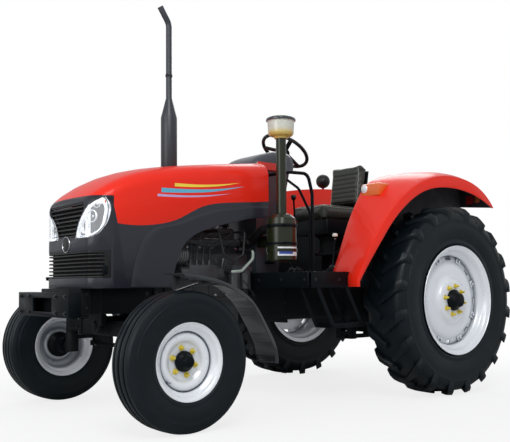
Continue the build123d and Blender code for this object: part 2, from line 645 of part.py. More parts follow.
def lamp_outline(shrink=0.0):
    """Leaf shape of the left headlamp, from its low inner tip to its high outer corner."""
    def at(x, z):
        return (LAMP_MIDDLE[0] + (x - LAMP_MIDDLE[0]) * (1 - shrink), LAMP_MIDDLE[1] + (z - LAMP_MIDDLE[1]) * (1 - shrink))

    tip, inner, upper = at(128, 1129), [at(150, 1190), at(190, 1248), at(248, 1296), at(304, 1342)], at(334, 1378)
    corner, outer = at(345, 1378), [at(351, 1345), at(351, 1262), at(343, 1192), at(322, 1147), at(275, 1130)]
    return outline(Spline([tip] + inner + [upper]), Line(upper, corner), Spline([corner] + outer + [tip]))


def grille_outline(limits, inset=0.0):
    x0, x1, z0, z1 = limits
    return polygon((x0 + inset, z0 + inset), (x1 - inset, z0 + inset), (x1 - inset, z1 - inset), (x0 + inset, z1 - inset))


def nose_skin(column, inset, depth):
    """The part of a front view column that lies between two depths under the nose's surface."""
    return column & (bonnet_envelope(inset) - bonnet_envelope(depth))


def pair(piece):
    return piece + mirror(piece, Plane.YZ)


def slats(limits, count):
    """Level bars across a grille, one above the other."""
    x0, x1, z0, z1 = limits
    pitch = (z1 - z0 - 2 * GRILLE_FRAME) / count
    return fuse([block(x0, x1, NOSE_Y - 60, NOSE_BACK, z0 + GRILLE_FRAME + (i + 0.5) * pitch - SLAT_T / 2,
                       z0 + GRILLE_FRAME + (i + 0.5) * pitch + SLAT_T / 2) for i in range(count)])


lamp_column = forward(lamp_outline())
upper_column = forward(grille_outline(UPPER_GRILLE)) - pair(lamp_column)
upper_inner = forward(grille_outline(UPPER_GRILLE, GRILLE_FRAME)) - pair(forward(lamp_outline(-0.12)))
lower_column = forward(grille_outline(LOWER_GRILLE))
lower_inner = forward(grille_outline(LOWER_GRILLE, GRILLE_FRAME))
nose_openings = pair(lamp_column) + upper_column + lower_column

shell = (bonnet_envelope() - bonnet_envelope(BONNET_T)) & block(
    -BONNET_HALF - 140, BONNET_HALF + 140, NOSE_Y - 140, BONNET_REAR, BONNET_LOW, BONNET_TOP_REAR + 260)
chimney = Pos(STACK_X, STACK_Y, BONNET_TOP_REAR) * Cylinder(MUFFLER_R + 12, 400)
painted = painted_region()
node("bonnet", (shell & painted) - chimney - nose_openings)
node("nose_panels", shell - painted - engine_bay_region() - nose_openings)
lens = nose_skin(lamp_column, 0.0, LENS_T)
node("headlamps", pair(lens))
bowl = nose_skin(lamp_column, LENS_T, LAMP_DEPTH) - nose_skin(forward(lamp_outline(0.14)), LENS_T - 1, LAMP_DEPTH - 6)
node("lamp_bowls", pair(bowl))
upper_bars = slats(UPPER_GRILLE, UPPER_SLATS) & upper_inner
lower_bars = slats(LOWER_GRILLE, LOWER_SLATS)
node("upper_grille", nose_skin((upper_column - upper_inner) + upper_bars, BONNET_T, GRILLE_DEPTH))
node("lower_grille", nose_skin((lower_column - lower_inner) + (lower_bars & lower_inner), BONNET_T, GRILLE_DEPTH))

# ---------------------------------------------------------------- engine
def engine():
    """Four-cylinder engine: ribbed block, sump, head, rocker cover, manifolds, timing case, fan and fittings."""
    y0, y1, half = ENGINE_FRONT, ENGINE_REAR, BLOCK_HALF
    pitch = (y1 - y0 - 160) / CYLINDERS
    parts = [
        block(-half, half, y0 + TIMING_T, y1, BLOCK_LOW, BLOCK_TOP),
        block(-half - 14, half + 14, y0 + 30, y1, BLOCK_LOW - 8, BLOCK_LOW + 10),
        block(-half + 24, half - 24, y0 + 60, y1 - 60, SUMP_LOW, BLOCK_LOW),
        block(-half - 20, half + 20, y0, y0 + TIMING_T, BLOCK_LOW, BLOCK_TOP + 30),
        block(-HEAD_HALF, HEAD_HALF, y0 + 40, y1 - 40, BLOCK_TOP, HEAD_TOP),
        rounded(block(-COVER_HALF, COVER_HALF, y0 + 60, y1 - 60, HEAD_TOP, COVER_TOP), 22, lambda c, _: c.Z > COVER_TOP - 1),
        rod((0, y1 - 46, BLOCK_LOW + 90), (0, y1, BLOCK_LOW + 90), FLYWHEEL_R),
        rod((0, y0 - 45, CRANK_Z), (0, y0, CRANK_Z), 70),
        rod((0, y0 - 60, FAN_Z), (0, y0, FAN_Z), 46),
        rod((0, y0 - 78, FAN_Z), (0, y0 - 72, FAN_Z), 60),
        rod((0, y0 - 80, FAN_Z), (0, y0 - 50, FAN_Z), 24),
        block(-190, -HEAD_HALF, y0 + 60, y1 - 100, HEAD_TOP - 85, HEAD_TOP - 5),
    ]
    for i in range(FAN_BLADES):
        blade = Pos(0, y0 - 75, FAN_Z) * Rot(0, i * 360 / FAN_BLADES, 0) * Pos(0, 0, FAN_R / 2 + 20) * Rot(0, 0, 24) * Box(
            70, 5, FAN_R - 40)
        parts.append(blade)
    for i in range(CYLINDERS):
        y = y0 + 80 + (i + 0.5) * pitch
        parts.append(rod((half - 5, y, BLOCK_TOP - 50), (half + 6, y, BLOCK_TOP - 50), 26))
        parts.append(block(half, half + 8, y + pitch / 2 - 8, y + pitch / 2 + 4, BLOCK_LOW + 30, BLOCK_TOP - 4))
        parts.append(rod((HEAD_HALF - 5, y, HEAD_TOP - 30), (HEAD_HALF + 48, y, HEAD_TOP - 30), 21))
        parts.append(rod((COVER_HALF - 36, y, COVER_TOP - 6), (COVER_HALF - 36, y, COVER_TOP + 12), 11))
    runner_y0, runner_y1 = y0 + 80 + 0.5 * pitch - 40, y1 - 80 - 0.5 * pitch + 60
    parts.append(rod((HEAD_HALF + 44, runner_y0, HEAD_TOP - 30), (HEAD_HALF + 44, runner_y1, HEAD_TOP - 30), 27))
    parts.append(block(half, half + 12, y0 + 120, y0 + 330, BLOCK_LOW + 150, BLOCK_LOW + 250))
    alternator = rod((half + 40, y0 + 15, BLOCK_TOP - 20), (half + 40, y0 + 105, BLOCK_TOP - 20), ALTERNATOR_R)
    pulley = rod((half + 40, y0 - 45, BLOCK_TOP - 20), (half + 40, y0 + 20, BLOCK_TOP - 20), 36)
    filters = [rod((half + 62, y1 - 162 + dy, BLOCK_LOW + 70), (half + 62, y1 - 162 + dy, BLOCK_LOW + 195), 42)
               for dy in (0, 96)]
    carrier = block(half, half + 100, y1 - 202, y1 - 27, BLOCK_LOW + 195, BLOCK_LOW + 235)
    starter = rod((-half - 60, y1 - 290, BLOCK_LOW + 70), (-half - 60, y1 - 40, BLOCK_LOW + 70), 48)
    starter_foot = block(-half - 60, -half + 5, y1 - 70, y1 - 42, BLOCK_LOW + 40, BLOCK_LOW + 100)
    return fuse(parts + [alternator, pulley, carrier, starter, starter_foot] + filters)


def injection_pump():
    """In-line fuel pump on the left of the block, with its governor and a pipe up to each injector."""
    y0, y1 = ENGINE_FRONT + TIMING_T, ENGINE_REAR
    pitch = (y1 - ENGINE_FRONT - 160) / CYLINDERS
    face = BLOCK_HALF + 12
    body = block(face, face + PUMP_W, y0 + 60, y0 + 290, PUMP_Z - 55, PUMP_Z + 45)
    parts = [body, rod((face + PUMP_W / 2, y0, PUMP_Z - 10), (face + PUMP_W / 2, y0 + 60, PUMP_Z - 10), 44),
             rod((face + PUMP_W / 2, y0 + 290, PUMP_Z - 12), (face + PUMP_W / 2, y0 + 350, PUMP_Z - 12), 41)]
    for i in range(CYLINDERS):
        pump_y = y0 + 95 + i * 52
        head_y = ENGINE_FRONT + 80 + (i + 0.5) * pitch - 32
        x = face + PUMP_W / 2
        parts.append(rod((x, pump_y, PUMP_Z + 40), (x, pump_y, PUMP_Z + 80), 11))
        parts.append(tube_along([(x, pump_y, PUMP_Z + 70), (x + 14, pump_y, PUMP_Z + 190 - 12 * i),
                                 (x + 14, head_y, HEAD_TOP + 40), (COVER_HALF, head_y, HEAD_TOP + 40)], 4.0, 20))
    return fuse(parts)


def hoses():
    """Return hose in a loop beside the pump and the pipe along the foot of the block."""
    x = BLOCK_HALF + PUMP_W + 58
    y, z = ENGINE_FRONT, BLOCK_LOW
    top = HEAD_TOP + 45
    loop = tube_along([(COVER_HALF, y + 315, top), (x, y + 315, top), (x, y + 360, z + 310), (x, y + 440, z + 265),
                       (x, y + 530, z + 310), (x, y + 545, top), (COVER_HALF, y + 545, top)], 8, 32)
    pipe = tube_along([(BLOCK_HALF, y + 420, z + 190), (x + 20, y + 420, z + 190), (x + 20, y + 500, z + 195),
                       (x + 20, y + 600, z + 280), (x + 20, y + 606, z + 340), (HEAD_HALF, y + 606, z + 340)], 10, 30)
    return loop, pipe


def intake_pipe():
    """Rubber elbow from the air cleaner's canister to the inlet manifold."""
    pitch = (ENGINE_REAR - ENGINE_FRONT - 160) / CYLINDERS
    end = (HEAD_HALF + 44, ENGINE_REAR - 80 - 0.5 * pitch + 60 + 0.3, HEAD_TOP - 30)
    pipe = tube_along([(AIR_X, AIR_Y, AIR_OUTLET_Z), (AIR_X - 190, AIR_Y - 24, AIR_OUTLET_Z), (end[0], AIR_Y - 24, end[2]),
                       end], AIR_PIPE_R - 4, 48)
    return pipe - Pos(AIR_X, AIR_Y, AIR_OUTLET_Z) * Cylinder(CANISTER_R + SEAT_GAP, 400)


def radiator():
    """Core between two tanks, with the fan's shroud behind it."""
    y0, half = NOSE_Y + 212, 250
    core = block(-half, half, y0 + 10, y0 + 110, SUPPORT_TOP + 60, 1290)
    low = block(-half - 20, half + 20, y0, y0 + 120, SUPPORT_TOP, SUPPORT_TOP + 60)
    top = block(-half - 20, half + 20, y0, y0 + 120, 1290, 1360)
    ring = block(-half, half, y0 + 110, y0 + 190, FAN_Z - FAN_R - 30, FAN_Z + FAN_R + 20)
    ring -= rod((0, y0 + 100, FAN_Z), (0, y0 + 200, FAN_Z), FAN_R + 12)
    return fuse([core, low, top, ring, Pos(0, y0 + 60, 1366) * Cylinder(26, 24)])


def exhaust():
    """Pipe from the manifold, silencer through the bonnet and a thin stack with a bent tip."""
    x, y = STACK_X, STACK_Y
    silencer = Pos(x, y, 0) * upright((0, 1560), (45, 1560), (MUFFLER_R, 1590), (MUFFLER_R, MUFFLER_TOP),
                                      (STACK_R, MUFFLER_TOP + 140), (STACK_R, MUFFLER_TOP + 283), (0, MUFFLER_TOP + 283))
    stack = tube_along([(x, y, MUFFLER_TOP + 273), (x, y, STACK_TOP), (x, y - 72, STACK_TOP + 108)], STACK_R, 90)
    down = tube_along([(x, y, 1570), (x, y, 1440), (x - 150, y + 60, 1330), (x - 150, y + 60, HEAD_TOP - 5)], 28, 45)
    return silencer + stack + down


def air_cleaner():
    """Oil bath canister on the dash's bracket, with its tall inlet pipe."""
    body = Pos(AIR_X, AIR_Y, 0) * upright(
        (0, 997), (88, 997), (CANISTER_R, 1010), (CANISTER_R, 1260), (98, 1300), (70, 1325), (AIR_PIPE_R, 1335),
        (AIR_PIPE_R, BOWL_LOW), (0, BOWL_LOW))
    clamp = Pos(AIR_X, AIR_Y, 1075) * Cylinder(CANISTER_R + 5, 22)
    bracket = block(DASH_HALF, AIR_X - 80, AIR_Y + 30, AIR_Y + 70, 1110, 1190)
    return fuse([body, clamp, bracket])


def precleaner():
    """Clear bowl on top of the inlet pipe, under a flat lid."""
    return Pos(AIR_X, AIR_Y, 0) * upright(
        (0, BOWL_LOW), (AIR_PIPE_R + 14, BOWL_LOW), (AIR_PIPE_R + 18, BOWL_LOW + 14), (BOWL_R - 10, BOWL_LOW + 26),
        (BOWL_R, BOWL_LOW + 44), (BOWL_R + 5, BOWL_TOP - 34), (BOWL_R + 16, BOWL_TOP - 30), (BOWL_R + 16, BOWL_TOP - 12),
        (BOWL_R - 6, BOWL_TOP), (0, BOWL_TOP))


node("engine", engine())
node("injection_pump", injection_pump())
node("engine_hoses", fuse(hoses()))
node("intake_pipe", intake_pipe())
node("radiator", radiator())
node("exhaust", exhaust())
node("air_cleaner", air_cleaner())
node("precleaner", precleaner())


# ---------------------------------------------------------------- driveline
def link_pins():
    """Pins on both sides of the rear axle's centre that carry the lower links."""
    y, z = LINK_PIVOT
    pins = []
    for side in SIDES.values():
        pins.append(rod((side * (CASE_HALF - 1), y, z), (side * (LINK_X_FRONT - LINK_T / 2 - 4), y, z), 30))
        pins.append(rod((side * (CASE_HALF - 1), y, z), (side * (LINK_X_FRONT + LINK_T / 2 + 14), y, z), LINK_PIN_R))
    return pins


def cast_case(x, y0, y1, z0, z1, edge):
    """A box casting with rounded lengthwise edges."""
    return rounded(block(-x, x, y0, y1, z0, z1), edge, lambda c, length: abs(c.Y - (y0 + y1) / 2) < 1)


def transmission():
    """Clutch housing, gearbox and rear axle centre bolted in a row as the tractor's backbone."""
    top = PLATFORM_TOP - PLATFORM_T
    half = CASE_HALF
    parts = [cast_case(half, ENGINE_REAR, -1010, 560, top, 60), cast_case(half - 45, -1010, -330, 570, top, 40),
             cast_case(half, -330, CASE_REAR, LINK_PIVOT[1] + 30, CASE_TOP, 50),
             block(-half, half, LINK_PIVOT[0] - 50, LINK_PIVOT[0] + 50, LINK_PIVOT[1] - 40, LINK_PIVOT[1] + 80)]
    for y, wide in ((ENGINE_REAR + 11, half + 12), (-1010, half + 8), (-330, half + 10)):
        parts.append(block(-wide, wide, y - 11, y + 11, 552, top))
    parts.append(rod((0, CASE_REAR, PTO_Z), (0, CASE_REAR + 26, PTO_Z), 75))
    parts.append(rod((0, CASE_REAR, PTO_Z), (0, CASE_REAR + 112, PTO_Z), PTO_R))
    for x in (-46, 32):
        ear = polygon((CASE_REAR - 5, TOP_LINK[1] - 70), (TOP_LINK[0] + 24, TOP_LINK[1] - 24), (TOP_LINK[0] + 24, TOP_LINK[1] + 24),
                      (CASE_REAR - 5, TOP_LINK[1] + 50))
        parts.append(across(ear, x, x + 14))
    case = fuse(parts + link_pins())
    return case - rod((-60, *TOP_LINK), (60, *TOP_LINK), TOP_LINK_R)


def axle_housing():
    """Left trumpet from the rear axle's centre to the hub, with its brake, flange and the shaft's bore."""
    trumpet = Pos(0, 0, REAR_R) * turned(
        (CASE_HALF, 0), (CASE_HALF, 175), (CASE_HALF + 25, 175), (CASE_HALF + 30, 158), (CASE_HALF + 95, 158),
        (CASE_HALF + 110, 108), (HOUSING_END - 80, 84), (HOUSING_END - 65, 120), (HOUSING_END, 120), (HOUSING_END, 0))
    return trumpet - rod((HOUSING_END - 130, 0, REAR_R), (HOUSING_END + 10, 0, REAR_R), SHAFT_R + RUNNING_GAP)


node("transmission", transmission())
node("axle_housings", fuse(both(axle_housing)))


# ---------------------------------------------------------------- driver's place
def platform():
    """Floor with a turned-down skirt all round, open over the driveline and round the clutch housing."""
    inner, corner = PLATFORM_HALF - PLATFORM_T, FENDER_IN - 10
    under = PLATFORM_TOP - PLATFORM_T
    tray = block(-PLATFORM_HALF, PLATFORM_HALF, PLATFORM_FRONT, PLATFORM_REAR, PLATFORM_TOP - PLATFORM_SKIRT,
                 PLATFORM_TOP)
    tray = rounded(tray, PLATFORM_CORNER, lambda c, _: abs(c.Z - PLATFORM_TOP + PLATFORM_SKIRT / 2) < 1 and c.Y < -1000)
    tray -= block(-inner, inner, PLATFORM_FRONT + PLATFORM_T, PLATFORM_REAR - PLATFORM_T, 0, under)
    tray -= block(-CASE_HALF - 15, CASE_HALF + 15, PLATFORM_FRONT - 1, PLATFORM_REAR + 1, 0, under)
    tray -= block(-CASE_HALF - 20, CASE_HALF + 20, PLATFORM_FRONT - 1, PLATFORM_NOTCH, 0, PLATFORM_TOP + 1)
    for side in SIDES.values():
        tray -= block(side * corner, side * (PLATFORM_HALF + 1), PLATFORM_WIDE, PLATFORM_REAR + 1, 0, PLATFORM_TOP + 1)
        for x in (CASE_HALF + 60, corner - 60):
            tray += block(side * x, side * (x + 40), PLATFORM_FRONT + 2, PLATFORM_WIDE, under - 50, under + 1)
    return tray


def step():
    """Left step: four raked hangers from under the floor and a tread plate with a rim."""
    under = PLATFORM_TOP - PLATFORM_T
    parts = [block(STEP_IN - 5, STEP_OUT + 14, STEP_Y[0], STEP_Y[1], STEP_Z, STEP_Z + 6),
             block(STEP_OUT + 8, STEP_OUT + 14, STEP_Y[0], STEP_Y[1], STEP_Z, STEP_Z + 34),
             block(STEP_IN - 5, STEP_IN + 1, STEP_Y[0], STEP_Y[1], STEP_Z, STEP_Z + 34)]
    for top_y, low_y in STEP_HANGERS:
        for x in (STEP_IN, STEP_OUT):
            parts.append(across(polygon(
                (top_y - 16, under), (top_y + 16, under), (top_y + 16, PLATFORM_TOP - PLATFORM_SKIRT - 16),
                (low_y + 16, STEP_Z + 2), (low_y - 16, STEP_Z + 2), (top_y - 16, PLATFORM_TOP - PLATFORM_SKIRT - 16)),
                x, x + 9))
    return fuse(parts)


def dash():
    """Console from the floor up to the instrument cowl behind the bonnet."""
    y0 = BONNET_REAR
    console = across(polygon((y0 + 20, PLATFORM_TOP), (y0 + 230, PLATFORM_TOP), (y0 + 305, 1500), (y0 + 350, 1700),
                             (y0 + 20, 1700)), -DASH_HALF, DASH_HALF)
    cowl = across(outline(
        Spline([(y0, 1690), (y0 + 9, 1752), (y0 + 100, 1812), (y0 + 240, 1848), (y0 + 360, 1832), (y0 + 400, 1780)]),
        Line((y0 + 400, 1780), (y0 + 365, 1690)), Line((y0 + 365, 1690), (y0, 1690))), -COWL_HALF, COWL_HALF)
    cowl = rounded(cowl, 60, lambda c, length: abs(c.X) > COWL_HALF - 10 and c.Z > 1760 and length > 120)
    return console + cowl - steering_column(SEAT_GAP)


STEER_AXIS = Vector(0, sin(radians(WHEEL_TILT)), cos(radians(WHEEL_TILT)))


def steering_wheel():
    plane = Plane(origin=Vector(*STEER_C), x_dir=(1, 0, 0), z_dir=STEER_AXIS)
    rim = plane * Torus(STEER_R - STEER_RIM_R, STEER_RIM_R)
    hub = plane * Pos(0, 0, -30) * Cylinder(38, 50)
    spokes = [plane * Rot(0, 0, angle) * Pos((STEER_R - STEER_RIM_R) / 2, 0, -12) * Box(
        STEER_R - STEER_RIM_R, 34, 12) for angle in (90, 210, 330)]
    return fuse([rim, hub] + spokes)


def steering_column(grow=0.0):
    centre = Vector(*STEER_C)
    return rod(centre - STEER_AXIS * (190 + grow), centre - STEER_AXIS * 56, COLUMN_R + grow)


def controls():
    """Gear levers, the throttle's lever, the lift's lever and the three pedals, each on its own foot."""
    parts = []
    for x, y, lean_x, lean_y, top in LEVERS:
        tip = (x + lean_x, y + lean_y, top)
        foot = Pos(x, y, PLATFORM_TOP) * Cylinder(26, 18, align=(Align.CENTER, Align.CENTER, Align.MIN))
        parts.append(fuse([foot, rod((x, y, PLATFORM_TOP + 5), tip, 7), Pos(*tip) * Sphere(19)]))
    for x, y in PEDALS:
        side = 1 if x > 0 else -1
        shaft = rod((side * DASH_HALF, y - 90, 1000), (x + side * 20, y - 90, 1000), 11)
        arm = rod((x, y - 90, 1000), (x, y + 4, 1092), 9)
        pad = Pos(x, y + 4, 1092) * Rot(-50, 0, 0) * Box(76, 62, 10)
        parts.append(fuse([shaft, arm, pad]))
    return fuse(parts)


def handrail():
    """Left grab rail: a tube from the dash down to the floor and a thinner brace beside it."""
    rail = tube_along([(DASH_HALF, -1215, 1640), (RAIL_X, -1215, 1640), (RAIL_X, -1010, 1645), (RAIL_X, -967, 1500),
                       (RAIL_X, -967, PLATFORM_TOP)], RAIL_R, 60)
    brace = tube_along([(RAIL_X - 90, -1215, 1640), (RAIL_X, -1100, 1530), (RAIL_X, -995, 1370), (RAIL_X, -989, PLATFORM_TOP)],
                       RAIL_R - 3, 60)
    return rail + brace


def seat_back_line(z, gap):
    """Side view place of the seat back's rear face at a height."""
    return SEAT_Y + 200 + gap + (z - 1500) * 50 / 330


def seat_frame():
    """Suspension base, two crossed links on each side, the bellows, the pan and the back's plate."""
    y0, y1 = SEAT_Y - 100, SEAT_Y + 160
    parts = [block(-120, 120, y0 - 20, y1 + 20, LIFT_TOP, LIFT_TOP + 26), block(-120, 120, -312, -286, CASE_TOP, LIFT_TOP + 1), block(-80, 80, y0 + 20, y1 - 20, LIFT_TOP + 20, 1250),
             rounded(block(-SEAT_W / 2 + 8, SEAT_W / 2 - 8, SEAT_Y - 260, SEAT_Y + 190, 1240, SEAT_Z), 30,
                     lambda c, _: abs(c.Z - (1240 + SEAT_Z) / 2) < 1)]
    for x in (-116, 104):
        parts.append(across(polygon((y0, LIFT_TOP + 20), (y0 + 34, LIFT_TOP + 20), (y1, 1245), (y1 - 34, 1245)), x, x + 12))
        parts.append(across(polygon((y1 - 34, LIFT_TOP + 20), (y1, LIFT_TOP + 20), (y0 + 34, 1245), (y0, 1245)), x, x + 12))
    parts.append(across(polygon(
        (seat_back_line(1300, SEAT_GAP), 1300), (seat_back_line(1300, 16), 1300), (seat_back_line(1790, 16), 1790),
        (seat_back_line(1790, SEAT_GAP), 1790)), -BACK_W / 2 + 12, BACK_W / 2 - 12))
    return fuse(parts)


def seat_cushion():
    cushion = block(-SEAT_W / 2, SEAT_W / 2, SEAT_Y - 300, SEAT_Y + 110, SEAT_Z + SEAT_GAP, SEAT_Z + 115)
    return rounded(cushion, 28, lambda c, _: c.Z > SEAT_Z + 40)


def seat_back():
    back = across(polygon((SEAT_Y + 115, 1500), (SEAT_Y + 200, 1500), (SEAT_Y + 200 + 50 * 312 / 330, 1812),
                          (SEAT_Y + 190, 1848), (SEAT_Y + 150, 1842)), -BACK_W / 2, BACK_W / 2)
    return rounded(back, 28, lambda c, length: abs(c.X) > BACK_W / 2 - 1 and c.Z > 1500)


node("platform", platform())
node("steps", fuse(both(step)))
node("dash", dash())
node("steering_column", steering_column())
node("steering_wheel", steering_wheel())
node("controls", controls())
node("handrail", handrail())
node("seat_frame", seat_frame())
node("seat_cushion", seat_cushion())
node("seat_back", seat_back())


# ---------------------------------------------------------------- rear fenders and their lamps
FENDER_LOW = PLATFORM_TOP - PLATFORM_SKIRT


def fender_lines(inset):
    """Inner ridge and outer edge of a fender in side view."""
    ridge = [(-889 + inset, FENDER_LOW), (-889 + inset, 932), (-806 + inset, 1114), (-702 + inset, 1343),
             (-620 + inset, 1478), (-530 + inset, 1588 - inset), (-389, 1655 - inset), (-180, 1698 - inset),
             (90, 1728 - inset), (420, 1740 - inset), (650 - inset, 1712 - inset)]
    edge = [(-1058 + inset, FENDER_LOW), (-1058 + inset, 870), (-950 + inset, 1050), (-840 + inset, 1200),
            (-725 + inset, 1330), (-600 + inset * 0.7, 1440 - inset * 0.7), (-440, 1545 - inset), (-240, 1622 - inset),
            (40, 1650 - inset), (330, 1590 - inset), (530 - inset, 1441 - inset)]
    return ridge, edge


def hem():
    """Lower edge of the outer flange, which narrows to nothing at the tail."""
    return [(-1032, FENDER_LOW), (-1032, 858), (-908, 1019), (-794, 1156), (-690, 1275), (-570, 1381), (-419, 1478),
            (-307, 1524), (-133, 1557), (47, 1560), (202, 1542), (329, 1511), (450, 1466), (522, 1436)]


def under_line(points):
    """The face below a side view curve, down to the fender's foot."""
    end = points[-1]
    return outline(Line(points[0], points[1]), Spline(points[1:]), Line(end, (end[0], FENDER_LOW)),
                   Line((end[0], FENDER_LOW), points[0]))


def fender_body(inset, x_in, x_out):
    """Stations from the ridge to the outer edge, bulging between them."""
    ridge, edge = fender_lines(inset)
    faces = []
    for share in (0.0, 0.25, 0.5, 0.75, 1.0):
        rise = FENDER_BULGE * 4 * share * (1 - share)
        line = [(a[0] * (1 - share) + b[0] * share, a[1] * (1 - share) + b[1] * share + (rise if i > 5 else 0))
                for i, (a, b) in enumerate(zip(ridge, edge))]
        faces.append(Pos(x_in + (x_out - x_in) * share, 0, 0) * (SIDE_VIEW * under_line(line)))
    return loft(faces, ruled=True)


def fender():
    """Left fender: inner wall, sloping top and a deep outer flange, cut round the floor and the axle."""
    sheet = fender_body(0, FENDER_IN, FENDER_OUT) - fender_body(FENDER_T, FENDER_IN + FENDER_T, FENDER_OUT - FENDER_T)
    sheet -= across(under_line(hem()), FENDER_OUT - FENDER_T - 1, FENDER_OUT + 1)
    sheet -= block(0, PLATFORM_HALF, PLATFORM_FRONT - 50, PLATFORM_WIDE + 100, 0, PLATFORM_TOP)
    sheet -= block(0, FENDER_OUT + 10, FENDER_REAR, REAR_REACH + 400, 0, 1000)
    sheet -= block(FENDER_IN + FENDER_T, FENDER_OUT + 10, -1100, REAR_REACH, 0, FENDER_LOW + 4)
    sheet -= rod((FENDER_IN - 20, 0, REAR_R), (FENDER_IN + 20, 0, REAR_R), 150)
    rear_cut = polygon((FENDER_REAR, 0), (FENDER_REAR, 1000), (518, 1440), (660, 1492), (1400, 1492), (1400, 0))
    return sheet - across(rear_cut, 0, FENDER_OUT + 10)


def fender_lamp():
    """Front lamp on the slope of the left fender."""
    x, y, z = FENDER_LAMP
    lamp = rounded(block(x - 86, x + 86, y - 46, y + 90, z - 56, z + 36), 16, lambda c, _: c.Z > z + 34)
    return lamp - fender_body(0, FENDER_IN, FENDER_OUT)


def work_lamp():
    """Round lamp on a stalk at the top of the right fender."""
    x, y, z = WORK_LAMP
    stalk = rod((x, y, z - 140), (x, y, z), 11) - mirror(fender_body(0, FENDER_IN, FENDER_OUT), Plane.YZ)
    return stalk + Pos(x, y, z) * Sphere(WORK_LAMP_R)


for word, piece in zip(SIDES, both(fender)):
    node(f"fender_{word}", piece)
node("fender_lamps", fuse(both(fender_lamp)))
node("work_lamp", work_lamp())


# ---------------------------------------------------------------- rear linkage and drawbar
def drawbar():
    z = DRAWBAR_Z
    bar = block(-35, 35, -200, DRAWBAR_END, z - 15, z + 15)
    bar = rounded(bar, 30, lambda c, length: c.Y > DRAWBAR_END - 1 and abs(c.Z - z) < 1)
    bar -= Pos(0, DRAWBAR_END - 40, z) * Cylinder(DRAWBAR_PIN_R, 60)
    for y in (-180, 150):
        bar += block(-90, -36, y, y + 60, z - 15, LINK_PIVOT[1] + 30)
        bar += block(36, 90, y, y + 60, z - 15, LINK_PIVOT[1] + 30)
        bar += block(-90, 90, y, y + 60, z + 15, z + 45)
    return bar


def lift_cover():
    """Hydraulic lift housing on top of the rear axle's centre, with the rockshaft's bore."""
    case = rounded(block(-150, 150, -200, 290, CASE_TOP, LIFT_TOP), 30,
                   lambda c, length: c.Z > LIFT_TOP - 1 and abs(c.X) > 149)
    y, z = LIFT_PIVOT
    case += rod((-150, y, z), (150, y, z), 60)
    case += block(40, 120, -120, 40, LIFT_TOP - 1, LIFT_TOP + 34) - block(-110, 125, -121, 41, LIFT_TOP - 1, LIFT_TOP + 34)
    return case - rod((-300, y, z), (300, y, z), LIFT_SHAFT_R + RUNNING_GAP)


def lift_arms():
    """Rockshaft with an arm at each end and the lift rods' upper pins."""
    y, z = LIFT_PIVOT
    tip_y, tip_z = LIFT_TIP
    reach = LIFT_ARM_X + LIFT_ARM_T / 2
    parts = [rod((-reach, y, z), (reach, y, z), LIFT_SHAFT_R)]
    for side in SIDES.values():
        inner, outer = side * (LIFT_ARM_X - LIFT_ARM_T / 2), side * reach
        parts.append(across(polygon((y, z - 46), (tip_y, tip_z - 24), (tip_y, tip_z + 24), (y, z + 46)), inner, outer))
        parts.append(rod((inner, y, z), (outer, y, z), 52))
        parts.append(rod((inner, tip_y, tip_z), (outer, tip_y, tip_z), 24))
        parts.append(rod((inner, tip_y, tip_z), (side * (LIFT_ROD_X + 20), tip_y, tip_z), LIFT_PIN_R))
    return fuse(parts)


def on_link(share):
    """A point on the left lower link's middle line: 0 at its front pin, 1 at its ball."""
    return Vector(LINK_X_FRONT + share * (LINK_X_REAR - LINK_X_FRONT),
                  LINK_PIVOT[0] + share * (LINK_END[0] - LINK_PIVOT[0]),
                  LINK_PIVOT[1] + share * (LINK_END[1] - LINK_PIVOT[1]))


def lower_link():
    """Left lower link: forged bar with a front eye and a ball at its rear end."""
    front, rear = on_link(0), on_link(1)
    bar = Plane(origin=(front + rear) / 2, z_dir=rear - front, x_dir=(0, 0, 1)) * Box(
        LINK_H, LINK_T, (rear - front).length - 60)
    over = Vector(LINK_T / 2 + 3, 0, 0)
    half_ball = Vector(LINK_BALL_W / 2, 0, 0)
    link = fuse([bar, rod(front - over, front + over, 40), rod(rear - over, rear + over, 42),
                 rod(rear - half_ball, rear + half_ball, 24)])
    link -= rod(front - over * 4, front + over * 4, LINK_PIN_R + RUNNING_GAP)
    return link - rod(rear - over * 4, rear + over * 4, LINK_BALL_R)


def lift_rod():
    """Left lift rod: upper eye on the arm's pin, levelling box, threaded tube and a lower eye beside the link."""
    upper = Vector(LIFT_ROD_X, *LIFT_TIP)
    low = on_link(LINK_ROD_AT) + Vector(LINK_T / 2 + 22, 0, 0)
    eye_half = Vector(11, 0, 0)
    body = rod(upper, low, 13) + rod(upper + (low - upper) * 0.3, upper + (low - upper) * 0.72, 20)
    body = body + rod(upper - eye_half, upper + eye_half, 26) + rod(low - eye_half, low + eye_half, 26)
    return body - rod(upper - eye_half * 5, upper + eye_half * 5, LIFT_PIN_R + RUNNING_GAP)


node("drawbar", drawbar())
node("lift_cover", lift_cover())
node("lift_arms", lift_arms())
for name, make in (("lower_link", lower_link), ("lift_rod", lift_rod)):
    for word, piece in zip(SIDES, both(make)):
        node(f"{name}_{word}", piece)


os.makedirs("parts", exist_ok=True)
for name, shape in NODES.items():
    export_step(shape, f"parts/{name}.step")
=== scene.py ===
import bpy
import bmesh
import json
from math import atan2, cos, degrees, hypot, pi, radians, sin
from mathutils import Matrix, Vector

